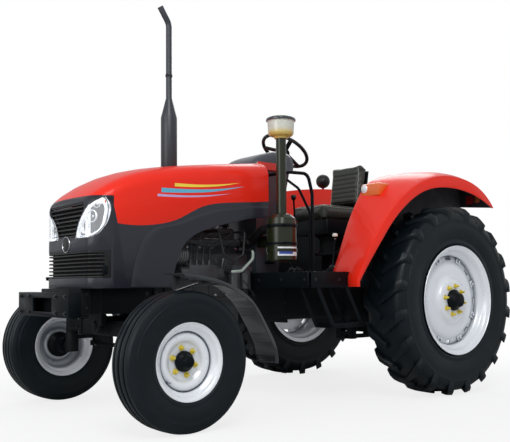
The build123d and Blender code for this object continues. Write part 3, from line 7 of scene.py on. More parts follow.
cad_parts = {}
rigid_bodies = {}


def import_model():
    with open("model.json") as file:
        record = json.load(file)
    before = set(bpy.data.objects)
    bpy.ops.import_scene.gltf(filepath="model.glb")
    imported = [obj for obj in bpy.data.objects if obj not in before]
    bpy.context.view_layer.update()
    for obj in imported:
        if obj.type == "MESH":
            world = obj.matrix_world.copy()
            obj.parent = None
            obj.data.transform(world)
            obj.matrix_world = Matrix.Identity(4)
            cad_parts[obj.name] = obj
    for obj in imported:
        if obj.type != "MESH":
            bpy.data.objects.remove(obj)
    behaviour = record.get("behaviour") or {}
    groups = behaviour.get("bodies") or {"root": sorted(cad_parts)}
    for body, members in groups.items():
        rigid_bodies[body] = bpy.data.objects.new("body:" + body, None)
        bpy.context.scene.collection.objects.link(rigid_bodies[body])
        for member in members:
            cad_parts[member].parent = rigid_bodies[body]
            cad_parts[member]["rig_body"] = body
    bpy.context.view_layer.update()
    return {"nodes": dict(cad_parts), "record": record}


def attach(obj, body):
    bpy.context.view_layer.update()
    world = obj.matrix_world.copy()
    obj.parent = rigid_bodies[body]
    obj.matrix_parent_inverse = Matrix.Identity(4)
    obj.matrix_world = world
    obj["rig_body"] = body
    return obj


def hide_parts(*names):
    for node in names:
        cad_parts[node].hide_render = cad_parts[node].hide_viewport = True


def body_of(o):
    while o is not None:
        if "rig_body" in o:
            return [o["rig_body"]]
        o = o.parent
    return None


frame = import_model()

nodes = frame["nodes"]
BODY_OF_NODE = {name: body_of(obj)[0] for name, obj in nodes.items()}
SHIFT = 0.915           # from the rear axle to the middle of the tractor, along Y
OUT, BACK, UP = Vector((1, 0, 0)), Vector((0, 1, 0)), Vector((0, 0, 1))     # out is to the left
SIDES = {"left": 1, "right": -1}


# ---------------- shader maths
class Socket:
    """A socket of a material's node tree, with arithmetic on its values."""

    def __init__(self, tree, socket):
        self.tree, self.socket = tree, socket

    def math(self, operation, *values):
        return add(self.tree, "ShaderNodeMath", {"operation": operation}, *(values or (self,)))

    def __add__(self, other): return self.math("ADD", self, other)
    def __radd__(self, other): return self.math("ADD", other, self)
    def __rsub__(self, other): return self.math("SUBTRACT", other, self)
    def __mul__(self, other): return self.math("MULTIPLY", self, other)
    def __rmul__(self, other): return self.math("MULTIPLY", other, self)
    def __pow__(self, other): return self.math("POWER", self, other)
    def __gt__(self, other): return self.math("GREATER_THAN", self, other)
    def __lt__(self, other): return self.math("LESS_THAN", self, other)
    def abs(self): return self.math("ABSOLUTE", self)
    def over(self, low, high):
        """0 below low, 1 above high and smooth between."""
        return add(self.tree, "ShaderNodeMapRange", {"interpolation_type": "SMOOTHSTEP"}, self, low, high, 0.0, 1.0)


def connect(tree, socket, value):
    if isinstance(value, Socket):
        tree.links.new(value.socket, socket)
    elif isinstance(value, (tuple, list)) and len(socket.default_value) == 4:
        socket.default_value = (*value[:3], 1.0)
    else:
        socket.default_value = value


def add(tree, kind, settings=None, *values, out=0, **named):
    """One node: its settings first, then the values or links of its sockets, by place or by name."""
    made = tree.nodes.new(kind)
    for name, value in (settings or {}).items():
        setattr(made, name, value)
    for place, value in enumerate(values):
        if value is not None:
            connect(tree, made.inputs[place], value)
    for name, value in named.items():
        connect(tree, made.inputs[name.replace("_", " ")], value)
    return Socket(tree, made.outputs[out])


class Finish:
    """A material with one Principled shader, and the patterns that its sockets read."""

    def __init__(self, name, colour, roughness=0.5, metallic=0.0, coat=(0.0, 0.03), specular=0.5, **constants):
        """The coat is its weight and its roughness."""
        self.material = bpy.data.materials.new(name)
        self.material.use_nodes = True
        self.tree = self.material.node_tree
        self.shader = self.tree.nodes["Principled BSDF"]
        self.set(Base_Color=colour, Roughness=roughness, Metallic=metallic, Coat_Weight=coat[0],
                 Coat_Roughness=coat[1], Specular_IOR_Level=specular, **constants)
        self.place = add(self.tree, "ShaderNodeTexCoord", out=3)

    def set(self, **values):
        for name, value in values.items():
            connect(self.tree, self.shader.inputs[name.replace("_", " ")], value)
        return self

    def noise(self, scale, detail=3.0):
        return add(self.tree, "ShaderNodeTexNoise", None, Vector=self.place, Scale=scale, Detail=detail,
                   Roughness=0.55)

    def axis(self, index):
        return add(self.tree, "ShaderNodeSeparateXYZ", None, self.place, out=index)

    def mix(self, share, first, second):
        made = self.tree.nodes.new("ShaderNodeMix")
        made.data_type = "RGBA"
        for place, value in ((0, share), (6, first), (7, second)):
            connect(self.tree, made.inputs[place], value)
        return Socket(self.tree, made.outputs[2])

    def two_tone(self, share, first, second):
        """The first colour where share is 0 and the second where it is 1."""
        return self.set(Base_Color=self.mix(share, first, second))

    def uneven(self, scale, low, high):
        """Roughness that wanders between two values."""
        return self.set(Roughness=low + (high - low) * self.noise(scale))

    def bump(self, height, strength, distance):
        return self.set(Normal=add(self.tree, "ShaderNodeBump", None, Strength=strength, Distance=distance,
                                   Height=height))

    def grain(self, scale, strength, distance, detail=3.0):
        return self.bump(self.noise(scale, detail), strength, distance)

    def cells(self, scale, strength, distance):
        return self.bump(add(self.tree, "ShaderNodeTexVoronoi", None, Vector=self.place, Scale=scale), strength,
                         distance)

    def ribs(self, scale, strength):
        """Upright ribs, as moulded in a lamp's lens."""
        return self.bump(add(self.tree, "ShaderNodeTexWave", {"bands_direction": "X"}, Vector=self.place,
                             Scale=scale), strength, 0.002)


RED_TONES = (0.86, 0.02, 0.007), (0.95, 0.028, 0.01)
SILVER_TONE = (0.93, 0.96, 1.0)


def paint_red():
    finish = Finish("tractor_red_paint", (0.9, 0.024, 0.008), 0.34, specular=0.22, coat=(0.18, 0.06))
    return finish.two_tone(finish.noise(2.2), *RED_TONES).uneven(9.0, 0.28, 0.42).grain(900.0, 0.05, 0.0003, 1.0)


def paint_grey():
    finish = Finish("nose_charcoal_paint", (0.018, 0.02, 0.029), 0.36, specular=0.35, coat=(0.2, 0.1))
    return finish.uneven(12.0, 0.3, 0.46).grain(700.0, 0.06, 0.0003, 1.0)


def paint_black():
    finish = Finish("chassis_black_paint", (0.005, 0.007, 0.009), 0.34, specular=0.1)
    finish.two_tone(finish.noise(3.5, 5.0).over(0.5, 0.8), (0.004, 0.006, 0.008), (0.009, 0.01, 0.011))
    return finish.uneven(20.0, 0.26, 0.46).grain(260.0, 0.12, 0.0006)


def cast_black():
    finish = Finish("cast_black_paint", (0.007, 0.009, 0.011), 0.5, specular=0.15)
    return finish.uneven(20.0, 0.42, 0.62).grain(180.0, 0.3, 0.0012)


def engine_paint():
    finish = Finish("engine_paint", (0.04, 0.045, 0.05), 0.38)
    finish.two_tone(finish.noise(6.0, 5.0).over(0.52, 0.75), (0.046, 0.051, 0.057), (0.02, 0.02, 0.02))
    return finish.uneven(25.0, 0.34, 0.58).grain(220.0, 0.25, 0.001)


def rubber():
    finish = Finish("tyre_rubber", (0.006, 0.01, 0.013), 0.38, specular=0.22)
    finish.two_tone(finish.noise(5.0, 5.0).over(0.45, 0.8), (0.005, 0.009, 0.012), (0.01, 0.014, 0.018))
    return finish.uneven(16.0, 0.28, 0.46).grain(420.0, 0.2, 0.0008)


def wheel_paint():
    """Silver, darker where little light gets in."""
    finish = Finish("wheel_silver_paint", SILVER_TONE, 0.28, 0.2, coat=(0.3, 0.15))
    open_share = add(finish.tree, "ShaderNodeAmbientOcclusion", {"samples": 6}, None, 0.15, out=1)
    return finish.two_tone(open_share.over(0.25, 0.85), (0.16, 0.19, 0.23), SILVER_TONE).uneven(14.0, 0.24, 0.34)


def zinc():
    return Finish("yellow_zinc", (0.86, 0.7, 0.1), 0.32, 0.5).uneven(60.0, 0.25, 0.42)


def steel():
    return Finish("bright_steel", (0.55, 0.56, 0.58), 0.28, 1.0).uneven(40.0, 0.2, 0.36)


def plastic_black():
    return Finish("black_plastic", (0.008, 0.008, 0.009), 0.42, specular=0.4).grain(1100.0, 0.15, 0.0004, 1.0)


def vinyl():
    finish = Finish("seat_vinyl", (0.04, 0.044, 0.036), 0.45, specular=0.4)
    finish.two_tone(finish.noise(7.0), (0.032, 0.036, 0.03), (0.05, 0.054, 0.045))
    return finish.cells(420.0, 0.25, 0.0008)


def olive():
    finish = Finish("olive_black_paint", (0.014, 0.018, 0.007), 0.22, specular=0.3, coat=(0.25, 0.08))
    return finish.uneven(14.0, 0.18, 0.3)


def lens():
    return Finish("lamp_lens", (0.95, 0.97, 1.0), 0.05, Alpha=0.2, coat=(0.6, 0.02))


FINISHES = {
    "tyre_rubber": rubber(), "wheel_silver": wheel_paint(), "hub_black": paint_black(),
    "chassis_black": paint_black(), "guard_black": paint_black(), "body_red": paint_red(),
    "panel_grey": paint_grey(), "grille_black": plastic_black(), "lamp_clear": lens(), "bright_steel": steel(),
    "engine_grey": engine_paint(), "exhaust_dark": cast_black(), "filter_olive": olive(),
    "wheel_plastic": plastic_black(), "seat_frame_black": paint_black(), "seat_vinyl": vinyl(),
    "lamp_chrome": steel(), "hose_pale": Finish("pale_hose", (0.42, 0.47, 0.43), 0.5),
    "cleaner_cream": Finish("cream_bowl", (0.62, 0.56, 0.4), 0.35, coat=(0.3, 0.03)),
    "lamp_amber": Finish("amber_lamp", (0.8, 0.16, 0.02), 0.2, coat=(0.6, 0.03)),
}
for entry in frame["record"]["subparts"]:
    mesh = nodes[entry["node"]].data
    mesh.materials.clear()
    mesh.materials.append(FINISHES[entry["material_slot"]].material)


# ---------------- meshes
def linked(label, data):
    """An object with that data, in the scene."""
    obj = bpy.data.objects.new(label, data)
    bpy.context.scene.collection.objects.link(obj)
    return obj


def finished(label, shape, finish, body="chassis", sharp=40.0, replaced=()):
    """Turns a bmesh into a piece of the tractor: smooth but for its sharp edges, riding a body."""
    for face in shape.faces:
        face.smooth = True
    for edge in shape.edges:
        edge.smooth = len(edge.link_faces) == 2 and edge.calc_face_angle(0) < radians(sharp)
    mesh = bpy.data.meshes.new(label)
    shape.to_mesh(mesh)
    shape.free()
    mesh.materials.append(finish.material)
    obj = linked(label, mesh)
    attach(obj, body)
    if replaced:
        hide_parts(*replaced)
    return obj


def shape_of(mesh):
    shape = bmesh.new()
    shape.from_mesh(mesh)
    return shape


def merged(shape, distance=2e-5):
    bmesh.ops.remove_doubles(shape, verts=shape.verts, dist=distance)
    return shape


def outward(shape):
    bmesh.ops.recalc_face_normals(shape, faces=shape.faces)
    return shape


def moved(shape, matrix):
    bmesh.ops.transform(shape, matrix=matrix, verts=shape.verts)
    return shape


def thickened(shape, thick):
    """A sheet given its thickness in mm."""
    bmesh.ops.solidify(shape, geom=shape.faces[:], thickness=thick / 1000)
    return outward(shape)


def creases(shape, angle):
    """The edges where two faces turn by more than an angle in radians."""
    return [edge for edge in shape.edges if edge.calc_face_angle(0) > angle]


def soften(shape, edges, offset, segments=2, clamp=False):
    """Rounds those edges by an offset in mm."""
    bmesh.ops.bevel(shape, geom=edges, offset=offset / 1000, segments=segments, profile=0.5, affect="EDGES",
                    material=-1, clamp_overlap=clamp)
    return shape


def dressed(name, finish, soft, sharp=30.0, segments=2):
    """A merged copy of a node with soft edges, in mm, which takes the node's place."""
    shape = merged(shape_of(nodes[name].data))
    bmesh.ops.dissolve_limit(shape, angle_limit=radians(0.4), verts=shape.verts, edges=shape.edges)
    if soft:
        soften(shape, creases(shape, radians(sharp)), soft, segments, True)
    return finished(name + "_dressed", shape, finish, BODY_OF_NODE[name], sharp + 8, [name])


def mm(*values):
    """Tractor place in mm from the rear axle, as metres from the tractor's middle."""
    x, y, z = values
    return Vector((x / 1000, y / 1000 + SHIFT, z / 1000))


def swept(places, closed, centre, axis, steps, distance):
    """The line through the places, in metres, turned full circle about an axis."""
    shape = bmesh.new()
    verts = [shape.verts.new(place) for place in places]
    ends = zip(verts, verts[1:] + verts[:1]) if closed else zip(verts, verts[1:])
    edges = [shape.edges.new(pair) for pair in ends]
    bmesh.ops.spin(shape, geom=verts + edges, cent=centre, axis=axis, angle=2 * pi, steps=steps, use_merge=True)
    return outward(merged(shape, distance))


def spun(profile, centre, steps=96, closed=True):
    """A ring turned about the X axis through centre, from (x, r) points in mm."""
    places = [mm(centre[0] + x, centre[1], centre[2] + r) for x, r in profile]
    return swept(places, closed, mm(*centre), OUT, steps, 1e-6)


def turned(profile, start, along, steps=48):
    """A closed profile of (distance, radius) points turned about a line from start, in mm."""
    start, along = Vector(start), Vector(along).normalized()
    side = along.orthogonal().normalized()
    return swept([mm(*(start + along * a + side * r)) for a, r in profile], True, mm(*start), along, steps, 2e-5)


def join(target, piece):
    """Adds one bmesh to another."""
    mesh = bpy.data.meshes.new("joined")
    piece.to_mesh(mesh)
    piece.free()
    target.from_mesh(mesh)
    bpy.data.meshes.remove(mesh)
    return target


def together(pieces):
    """All the pieces as one bmesh."""
    shape = bmesh.new()
    for piece in pieces:
        join(shape, piece)
    return shape


def copies(piece, moves):
    """The piece after each of the moves, as one bmesh."""
    shape = together(moved(piece.copy(), move) for move in moves)
    piece.free()
    return shape


def turned_copies(piece, centre, angles, axis="X"):
    """The piece turned about an axis through centre, once for each angle in degrees."""
    middle = Matrix.Translation(mm(*centre))
    return copies(piece, [middle @ Matrix.Rotation(radians(a), 4, axis) @ middle.inverted() for a in angles])


def cylinder(start, end, radius, radius_end=None, sides=24, soft=0.0):
    """A capped cylinder or cone between two places, in mm."""
    a, b = mm(*start), mm(*end)
    shape = bmesh.new()
    bmesh.ops.create_cone(shape, cap_ends=True, segments=sides, radius1=radius / 1000,
                          radius2=(radius if radius_end is None else radius_end) / 1000, depth=(b - a).length)
    if soft:
        soften(shape, creases(shape, 1.0), soft)
    return moved(shape, Matrix.Translation((a + b) / 2) @ (b - a).to_track_quat("Z", "Y").to_matrix().to_4x4())


def slab(low, high, soft=1.0):
    """A box between two corners in mm, with soft edges."""
    a, b = mm(*low), mm(*high)
    shape = bmesh.new()
    bmesh.ops.create_cube(shape, size=1.0)
    outward(moved(shape, Matrix.Translation((a + b) / 2) @ Matrix.Diagonal((*(b - a), 1.0))))
    return soften(shape, shape.edges[:], soft)


def hexagon_head(place, out, size, height):
    """A hexagon head on its washer, standing on a face at place, pointing out."""
    place, out = Vector(place), Vector(out).normalized()
    return together([cylinder(place, place + out * 2.5, size * 0.98, sides=20),
                     cylinder(place + out * 2, place + out * (2 + height), size * 0.6, sides=6, soft=1.0)])


def pipe(points, radius, sides=12, cyclic=False):
    """A bent tube through a list of places in mm."""
    curve = bpy.data.curves.new("pipe", "CURVE")
    curve.dimensions, curve.bevel_depth, curve.bevel_resolution = "3D", radius / 1000, max(1, sides // 4 - 1)
    curve.use_fill_caps, curve.resolution_u = True, 8
    spline = curve.splines.new("NURBS")
    spline.points.add(len(points) - 1)
    for point, place in zip(spline.points, points):
        point.co = (*mm(*place), 1.0)
    spline.order_u, spline.use_endpoint_u, spline.use_cyclic_u = 3, not cyclic, cyclic
    obj = bpy.data.objects.new("pipe", curve)
    mesh = bpy.data.meshes.new_from_object(obj)
    shape = merged(shape_of(mesh), 1e-6)
    bpy.data.objects.remove(obj)
    bpy.data.curves.remove(curve)
    bpy.data.meshes.remove(mesh)
    return shape


def flipped(shape, about=0.0):
    """The mirror image of a piece across the tractor's middle, or across a plane at x in mm."""
    bmesh.ops.scale(shape, vec=(-1, 1, 1), verts=shape.verts, space=Matrix.Translation((-about / 1000, 0, 0)))
    bmesh.ops.reverse_faces(shape, faces=shape.faces)
    return shape


def on_both_sides(label, make, finish, body="chassis", sharp=40.0, replaced=None):
    """Makes a left piece and its mirror; {} in a name stands for the side."""
    for word, side in SIDES.items():
        shape = make() if side > 0 else flipped(make())
        finished(label.format(word), shape, finish, body.format(word), sharp,
                 [replaced.format(word)] if replaced else ())


# ---------------- wheels
REAR = (871.0, 0.0, 712.0)
FRONT = (832.5, -2334.0, 405.0)
RUBBER, SILVER, ZINC, BLACK, STEEL = rubber(), wheel_paint(), zinc(), paint_black(), steel()
LUG_COUNT, LUG_LENGTH = 20, 168.0       # bars on each half of the tread, and how far each runs out in mm
WINDOW_PITCH, WINDOW_HALF = 45, 5.1     # the rear disc's windows, in degrees


def both_halves(half):
    return half + [(-x, r) for x, r in reversed(half)]


def rear_lug():
    """One bar of the outer half of the rear tread at the top of the wheel, curved and tapered."""
    shape = bmesh.new()
    bmesh.ops.create_grid(shape, x_segments=6, y_segments=2, size=0.5)
    for vert in shape.verts:
        u, v = vert.co.x + 0.5, vert.co.y
        run = 128 * (u ** 1.12) + v * (44 + 32 * u)
        top = REAR[2] - 2.5 * u - 34 * max(0.0, (u - 0.78) / 0.22) ** 1.6
        turn = run / 700
        vert.co = mm(REAR[0] + 3 + u * LUG_LENGTH, REAR[1] + top * sin(turn), REAR[2] + top * cos(turn))
    grown = bmesh.ops.extrude_face_region(shape, geom=shape.faces[:])
    for vert in [v for v in grown["geom"] if isinstance(v, bmesh.types.BMVert)]:
        middle = Vector((vert.co.x, REAR[1] / 1000 + SHIFT, REAR[2] / 1000))
        out = vert.co - middle
        depth = 0.046 + 0.04 * max(0.0, (vert.co.x * 1000 - REAR[0] - 3) / LUG_LENGTH)
        vert.co = middle + out * ((out.length - depth) / out.length)
    outward(shape)
    return soften(shape, creases(shape, 0.9), 5, clamp=True)


def rear_tyre():
    half = [(60, 681), (105, 678), (136, 671), (152, 660), (162, 643), (169, 618), (169, 604), (172, 602),
            (172, 598), (171, 594), (173, 565), (171, 530), (167, 496), (162, 466), (158, 446), (161, 440), (161, 428),
            (156, 420), (151, 408), (149, 384)]
    pitch = 360 / LUG_COUNT
    outer = turned_copies(rear_lug(), REAR, [i * pitch for i in range(LUG_COUNT)])
    inner = turned_copies(flipped(rear_lug(), REAR[0]), REAR, [(i + 0.5) * pitch for i in range(LUG_COUNT)])
    return together([spun(both_halves(half), REAR, 120), outer, inner])


def front_tyre():
    half = [(5, 391), (8, 393), (10, 404), (13, 405), (40, 404), (43, 402), (45, 392), (48, 390), (54, 390),
            (56, 392), (58, 402), (61, 403.5), (80, 400), (86, 397), (90, 391), (93, 390), (95, 386), (99, 372),
            (101, 360), (101, 352), (103, 350), (103, 346), (102.4, 343), (104, 318), (103.5, 300), (101, 280),
            (97, 258), (94, 247), (95, 243), (94, 237), (88, 230), (82, 222), (73, 206)]
    return spun(both_halves(half), FRONT, 128)


on_both_sides("rear_tyre_{}_tread", rear_tyre, RUBBER, "rear_wheel_{}", 38, "rear_tyre_{}")
on_both_sides("front_tyre_{}_tread", front_tyre, RUBBER, "front_wheel_{}", 38, "front_tyre_{}")
for word in SIDES:
    dressed(f"rear_hub_{word}", BLACK, 2, 26)
    dressed(f"front_hub_{word}", BLACK, 1.6, 26)


def barrel(outside, sheet, centre):
    """A rim's barrel from the outer half of its tyre side; the face seen has the same shape a sheet further in."""
    inside = [(x - 1.5, r - sheet) for x, r in reversed(outside)]
    x, r = outside[0]
    back = [(-x, r) for x, r in reversed(outside)] + [(-x, r) for x, r in reversed(inside)]
    return spun([(x + 3, r - 5), (x + 3, r - 2)] + outside + back + inside, centre, 144)


def rear_rim():
    shape = barrel([(166, 410), (163, 405), (158, 388), (152, 382), (124, 378), (118, 374), (104, 356), (96, 349),
                    (87, 345)], 7, REAR)
    dish = [(118, 58), (118, 146), (116, 152), (108, 160), (96, 170), (89, 182), (87, 196), (88, 214), (88, 236),
            (86, 256), (81, 274), (75, 288), (70, 298), (68, 304), (66, 330), (62, 337), (50, 339)]
    disc = spun(dish, REAR, 144, False)
    windows = []
    for face in disc.faces:
        y, z = face.calc_center_median().y - SHIFT, face.calc_center_median().z - REAR[2] / 1000
        turn = (degrees(atan2(y, z)) + 3.75) % WINDOW_PITCH - 3.75
        if 0.304 < hypot(y, z) < 0.33 and abs(turn - 1.25) < WINDOW_HALF:
            windows.append(face)
    bmesh.ops.delete(disc, geom=windows, context="FACES")
    return join(shape, thickened(disc, 8))


def front_rim():
    shape = barrel([(87, 225), (85, 221), (80, 208), (75, 205), (65, 201), (60, 197), (52, 184), (45, 178)], 5, FRONT)
    dish = [(20, 43), (20, 98), (21.5, 104), (27, 111), (35, 118), (41, 127), (44, 138), (44, 150), (40, 161),
            (32, 169), (22, 172), (6, 173)]
    return join(shape, thickened(spun(dish, FRONT, 128, False), 6))


on_both_sides("rear_rim_{}_sheet", rear_rim, SILVER, "rear_wheel_{}", 50, "rear_rim_{}")
on_both_sides("front_rim_{}_sheet", front_rim, SILVER, "front_wheel_{}", 50, "front_rim_{}")
HUB_CAPS = {
    # wheel, steps round, profile
    "rear": (REAR, 64, [(112, 60), (112, 80), (130, 79), (142, 68), (150, 58), (178, 50), (181, 44), (181, 0.5),
                        (112, 0.5)]),
    "front": (FRONT, 56, [(14, 40), (14, 60), (34, 59), (46, 52), (52, 42), (80, 33), (84, 28), (84, 0.5),
                          (14, 0.5)]),
}
for end, (centre, steps, profile) in HUB_CAPS.items():
    on_both_sides(end + "_hub_{}_cap", lambda: spun(profile, centre, steps), BLACK, end + "_wheel_{}")


def on_circle(centre, x, radius, angle):
    """A place round a wheel, x out from its middle, in mm and radians."""
    return Vector((centre[0] + x, centre[1] + radius * sin(angle), centre[2] + radius * cos(angle)))


def wheel_nuts(centre, seat, circle, count, first, size, height, stud, reach):
    """Nuts on their studs round a hub, the first of them at an angle."""
    shape = bmesh.new()
    for i in range(count):
        place = on_circle(centre, seat, circle, i * 2 * pi / count + first)
        join(shape, hexagon_head(place, OUT, size, height))
        join(shape, cylinder(place + OUT * 14, place + OUT * reach, stud, sides=12, soft=1.0))
    return shape


def rim_clamps():
    """Bolted lugs between the rear disc and its rim, one in each space between the windows."""
    x, _, z = REAR
    clamp = join(slab((x + 58, -26, z + 296), (x + 76, 26, z + 334), 3),
                 hexagon_head((x + 76, 0, z + 315), OUT, 15, 12))
    return turned_copies(clamp, REAR, [(i + 0.5) * WINDOW_PITCH for i in range(8)])


def valve(centre, x, radius, angle):
    place = on_circle(centre, x, radius, angle)
    return join(cylinder(place, place + OUT * 34, 5, 4, 12, 0.6),
                cylinder(place + OUT * 30, place + OUT * 42, 5.6, 5.0, 12, 1.0))


on_both_sides("front_nuts_{}", lambda: wheel_nuts(FRONT, 20, 79, 6, -0.22, 17, 15, 6.5, 27), ZINC, "front_wheel_{}")
on_both_sides("rear_nuts_{}", lambda: wheel_nuts(REAR, 118, 108, 8, 0.2, 19, 19, 8, 34), ZINC, "rear_wheel_{}")
on_both_sides("rim_clamps_{}", rim_clamps, SILVER, "rear_wheel_{}")
on_both_sides("front_valve_{}", lambda: valve(FRONT, 36, 163, 4.0), STEEL, "front_wheel_{}")
on_both_sides("rear_valve_{}", lambda: valve(REAR, 70, 325, 0.0), STEEL, "rear_wheel_{}")

# ---------------- castings, sheet metal and controls
RED, GREY, CAST, ENGINE = paint_red(), paint_grey(), cast_black(), engine_paint()
PLASTIC = plastic_black()
# Painted reflection: an emission that brightens the shaded bowls and mirrors of the unlit headlamps, as if they
# mirrored bright surroundings
PAINTED_REFLECTION_GLOW = (0.9, 0.94, 1.0)
LAMP_WHITE = Finish("lamp_bowl", (0.9, 0.93, 0.97), 0.22, 0.2, coat=(0.5, 0.03), Emission_Color=PAINTED_REFLECTION_GLOW,
                    Emission_Strength=0.5).uneven(50.0, 0.18, 0.3)
BONNET = paint_red()
lip = (BONNET.axis(2) < 1.39) * (BONNET.axis(1) < -1.6)
BONNET.two_tone(lip, BONNET.mix(BONNET.noise(2.2), *RED_TONES), (0.018, 0.019, 0.027))
GUARD = Finish("guard_gloss", (0.006, 0.01, 0.014), 0.2, coat=(0.7, 0.05)).uneven(20.0, 0.16, 0.28)
COWL_TONE = (0.055, 0.062, 0.078)
COWL = Finish("cowl_paint", COWL_TONE, 0.32, coat=(0.3, 0.1)).uneven(14.0, 0.26, 0.4)
corner = (COWL.axis(0).abs() > 0.197) * (COWL.axis(2) < 1.745) * (COWL.axis(1) < -0.17)
COWL.two_tone(corner, COWL_TONE, (0.86, 0.022, 0.008))
STACK = Finish("exhaust_paint", (0.03, 0.035, 0.044), 0.36).uneven(30.0, 0.28, 0.46)
BOLT = Finish("bolt_black", (0.03, 0.033, 0.037), 0.34, 0.5).uneven(80.0, 0.26, 0.42)
HOSE_TONE = (0.016, 0.017, 0.018)
HOSE = Finish("engine_hose", HOSE_TONE, 0.5).uneven(40.0, 0.4, 0.6)
HOSE.two_tone(HOSE.axis(0) > 0.302, HOSE_TONE, (0.36, 0.42, 0.38))
SOFT_EDGES = [
    # finish, edge in mm, nodes
    (BONNET, 1.2, "bonnet"), (GREY, 1.2, "nose_panels"), (RED, 1.6, "fender_left fender_right"),
    (PLASTIC, 1.2, "upper_grille lower_grille"), (LAMP_WHITE, 0.0, "lamp_bowls"), (CAST, 3.0, "front_axle"),
    (CAST, 4.0, "front_support"), (BLACK, 2.0, "front_bracket"), (CAST, 2.5, "knuckle_left knuckle_right"),
    (GUARD, 1.0, "mudguard_left mudguard_right"), (BLACK, 1.5, "tie_rod steering_cylinder"),
    (STEEL, 1.0, "steering_rod"), (ENGINE, 2.0, "engine"), (ENGINE, 1.2, "injection_pump"),
    (BLACK, 2.0, "radiator"), (STACK, 1.5, "exhaust"), (CAST, 3.0, "transmission axle_housings"),
    (BLACK, 2.0, "platform"), (BLACK, 1.5, "steps"), (COWL, 2.0, "dash"), (BLACK, 1.2, "controls"),
    (BLACK, 0.0, "handrail"), (BLACK, 1.0, "steering_column"), (PLASTIC, 0.0, "steering_wheel"),
    (BLACK, 2.0, "seat_frame"), (CAST, 2.5, "drawbar"), (CAST, 3.0, "lift_cover"),
    (CAST, 2.5, "lift_arms lower_link_left lower_link_right"), (CAST, 1.5, "lift_rod_left lift_rod_right"),
    (PLASTIC, 0.0, "work_lamp"), (HOSE, 0.0, "engine_hoses"),
]
for finish, edge, names in SOFT_EDGES:
    for name in names.split():
        dressed(name, finish, edge)


# ---------------- sheets and soft pads
PAD_MARGIN = 0.0004     # how far a pad stays inside its solid


def smooth_through(points, share):
    """Place at a share of the way along a smooth curve through the points."""
    spans = len(points) - 1
    start = min(int(share * spans), spans - 1)
    t = share * spans - start
    a, b, c, d = (Vector(points[max(0, min(spans, start + i))]) for i in (-1, 0, 1, 2))
    return 0.5 * (2 * b + (c - a) * t + (2 * a - 5 * b + 4 * c - d) * t * t + (3 * b - a - 3 * c + d) * t ** 3)


def sheet(first, second, columns, rows, thick, raised=lambda point, u, v: point):
    """A sheet of metal or plastic between two curves, in mm; raised may lift its points."""
    shape = bmesh.new()
    bmesh.ops.create_grid(shape, x_segments=columns, y_segments=rows, size=0.5)
    for vert in shape.verts:
        u, v = vert.co.x + 0.5, vert.co.y + 0.5
        vert.co = mm(*raised(smooth_through(first, u).lerp(smooth_through(second, u), v), u, v))
    return thickened(outward(shape), thick)


def applied(obj):
    """Puts what the modifiers make into the object's mesh."""
    graph = bpy.context.evaluated_depsgraph_get()
    mesh = bpy.data.meshes.new_from_object(obj.evaluated_get(graph))
    obj.modifiers.clear()
    old, obj.data = obj.data, mesh
    bpy.data.meshes.remove(old)


def swollen(name, shrink, limit, finish, dent, crown=-PAD_MARGIN):
    """A seat pad: the node's shape a little smaller, filled by cloth pressure, then its sewn channels."""
    shape = merged(shape_of(nodes[name].data))
    middle = sum((v.co for v in shape.verts), Vector()) / len(shape.verts)
    low, high = (Vector(f(v.co[i] for v in shape.verts) for i in range(3)) for f in (min, max))
    for vert in shape.verts:
        vert.co -= Vector(shrink * (1 if vert.co[i] > middle[i] else -1) for i in range(3))
    obj = finished(name + "_pad", shape, finish, BODY_OF_NODE[name], 60, [name])
    obj.modifiers.new("grid", "REMESH").voxel_size = 0.006
    applied(obj)
    before = [v.co.copy() for v in obj.data.vertices]
    cloth = obj.modifiers.new("cloth", "CLOTH")
    cloth.settings.use_pressure, cloth.settings.uniform_pressure_force = True, 4.0
    cloth.settings.effector_weights.gravity = 0.0
    cloth.settings.quality = 4
    for step in range(1, 16):
        bpy.context.scene.frame_set(step)
    applied(obj)
    lowest = [value + PAD_MARGIN for value in low]
    highest = [high.x - PAD_MARGIN, high.y - PAD_MARGIN, high.z + crown]
    for vert, start in zip(obj.data.vertices, before):
        move = vert.co - start
        if move.length > limit:
            vert.co = start + move * (limit / move.length)
        for i in range(3):
            vert.co[i] = min(max(vert.co[i], lowest[i]), highest[i])
    obj.data.update()
    moves = [dent(v.co, v.normal) for v in obj.data.vertices]
    for vert, move in zip(obj.data.vertices, moves):
        vert.co = vert.co + move
    smooth = obj.modifiers.new("fine", "SUBSURF")
    smooth.levels = smooth.render_levels = 1
    applied(obj)
    obj.data.materials.clear()
    obj.data.materials.append(finish.material)
    for face in obj.data.polygons:
        face.use_smooth = True
    return obj


# ---------------- nose
NOSE_Y = -2662.0
BADGE_Z = 1098
LAMP_RIM = [(128, 1129), (150, 1190), (190, 1248), (248, 1296), (304, 1342), (334, 1378), (345, 1378), (351, 1345),
            (351, 1262), (343, 1192), (322, 1147), (275, 1130)]
REFLECTORS = [
    # x, z, radius, degrees out
    (226, 1206, 45, 4), (296, 1262, 36, 22), (318, 1336, 21, 38),
]
# Its emission is a painted reflection: the headlamp mirrors and the marker lamps' chrome rims glow a little to look
# brighter in their shade
CHROME = Finish("lamp_mirror", (0.93, 0.95, 0.97), 0.16, 0.45, Emission_Color=PAINTED_REFLECTION_GLOW,
                Emission_Strength=0.25).uneven(70.0, 0.1, 0.24)
BULB = Finish("bulb_glass", (0.96, 0.97, 1.0), 0.1, coat=(0.8, 0.03))
AMBER = Finish("amber_lens", (0.85, 0.16, 0.015), 0.16, coat=(0.8, 0.05)).ribs(60.0, 0.5)
CLEAR = Finish("clear_lens", (0.86, 0.88, 0.92), 0.1, coat=(1.0, 0.03)).ribs(70.0, 0.4)
SCREEN = Finish("grille_screen", (0.004, 0.004, 0.005), 0.6, specular=0.2).cells(130.0, 0.8, 0.004)


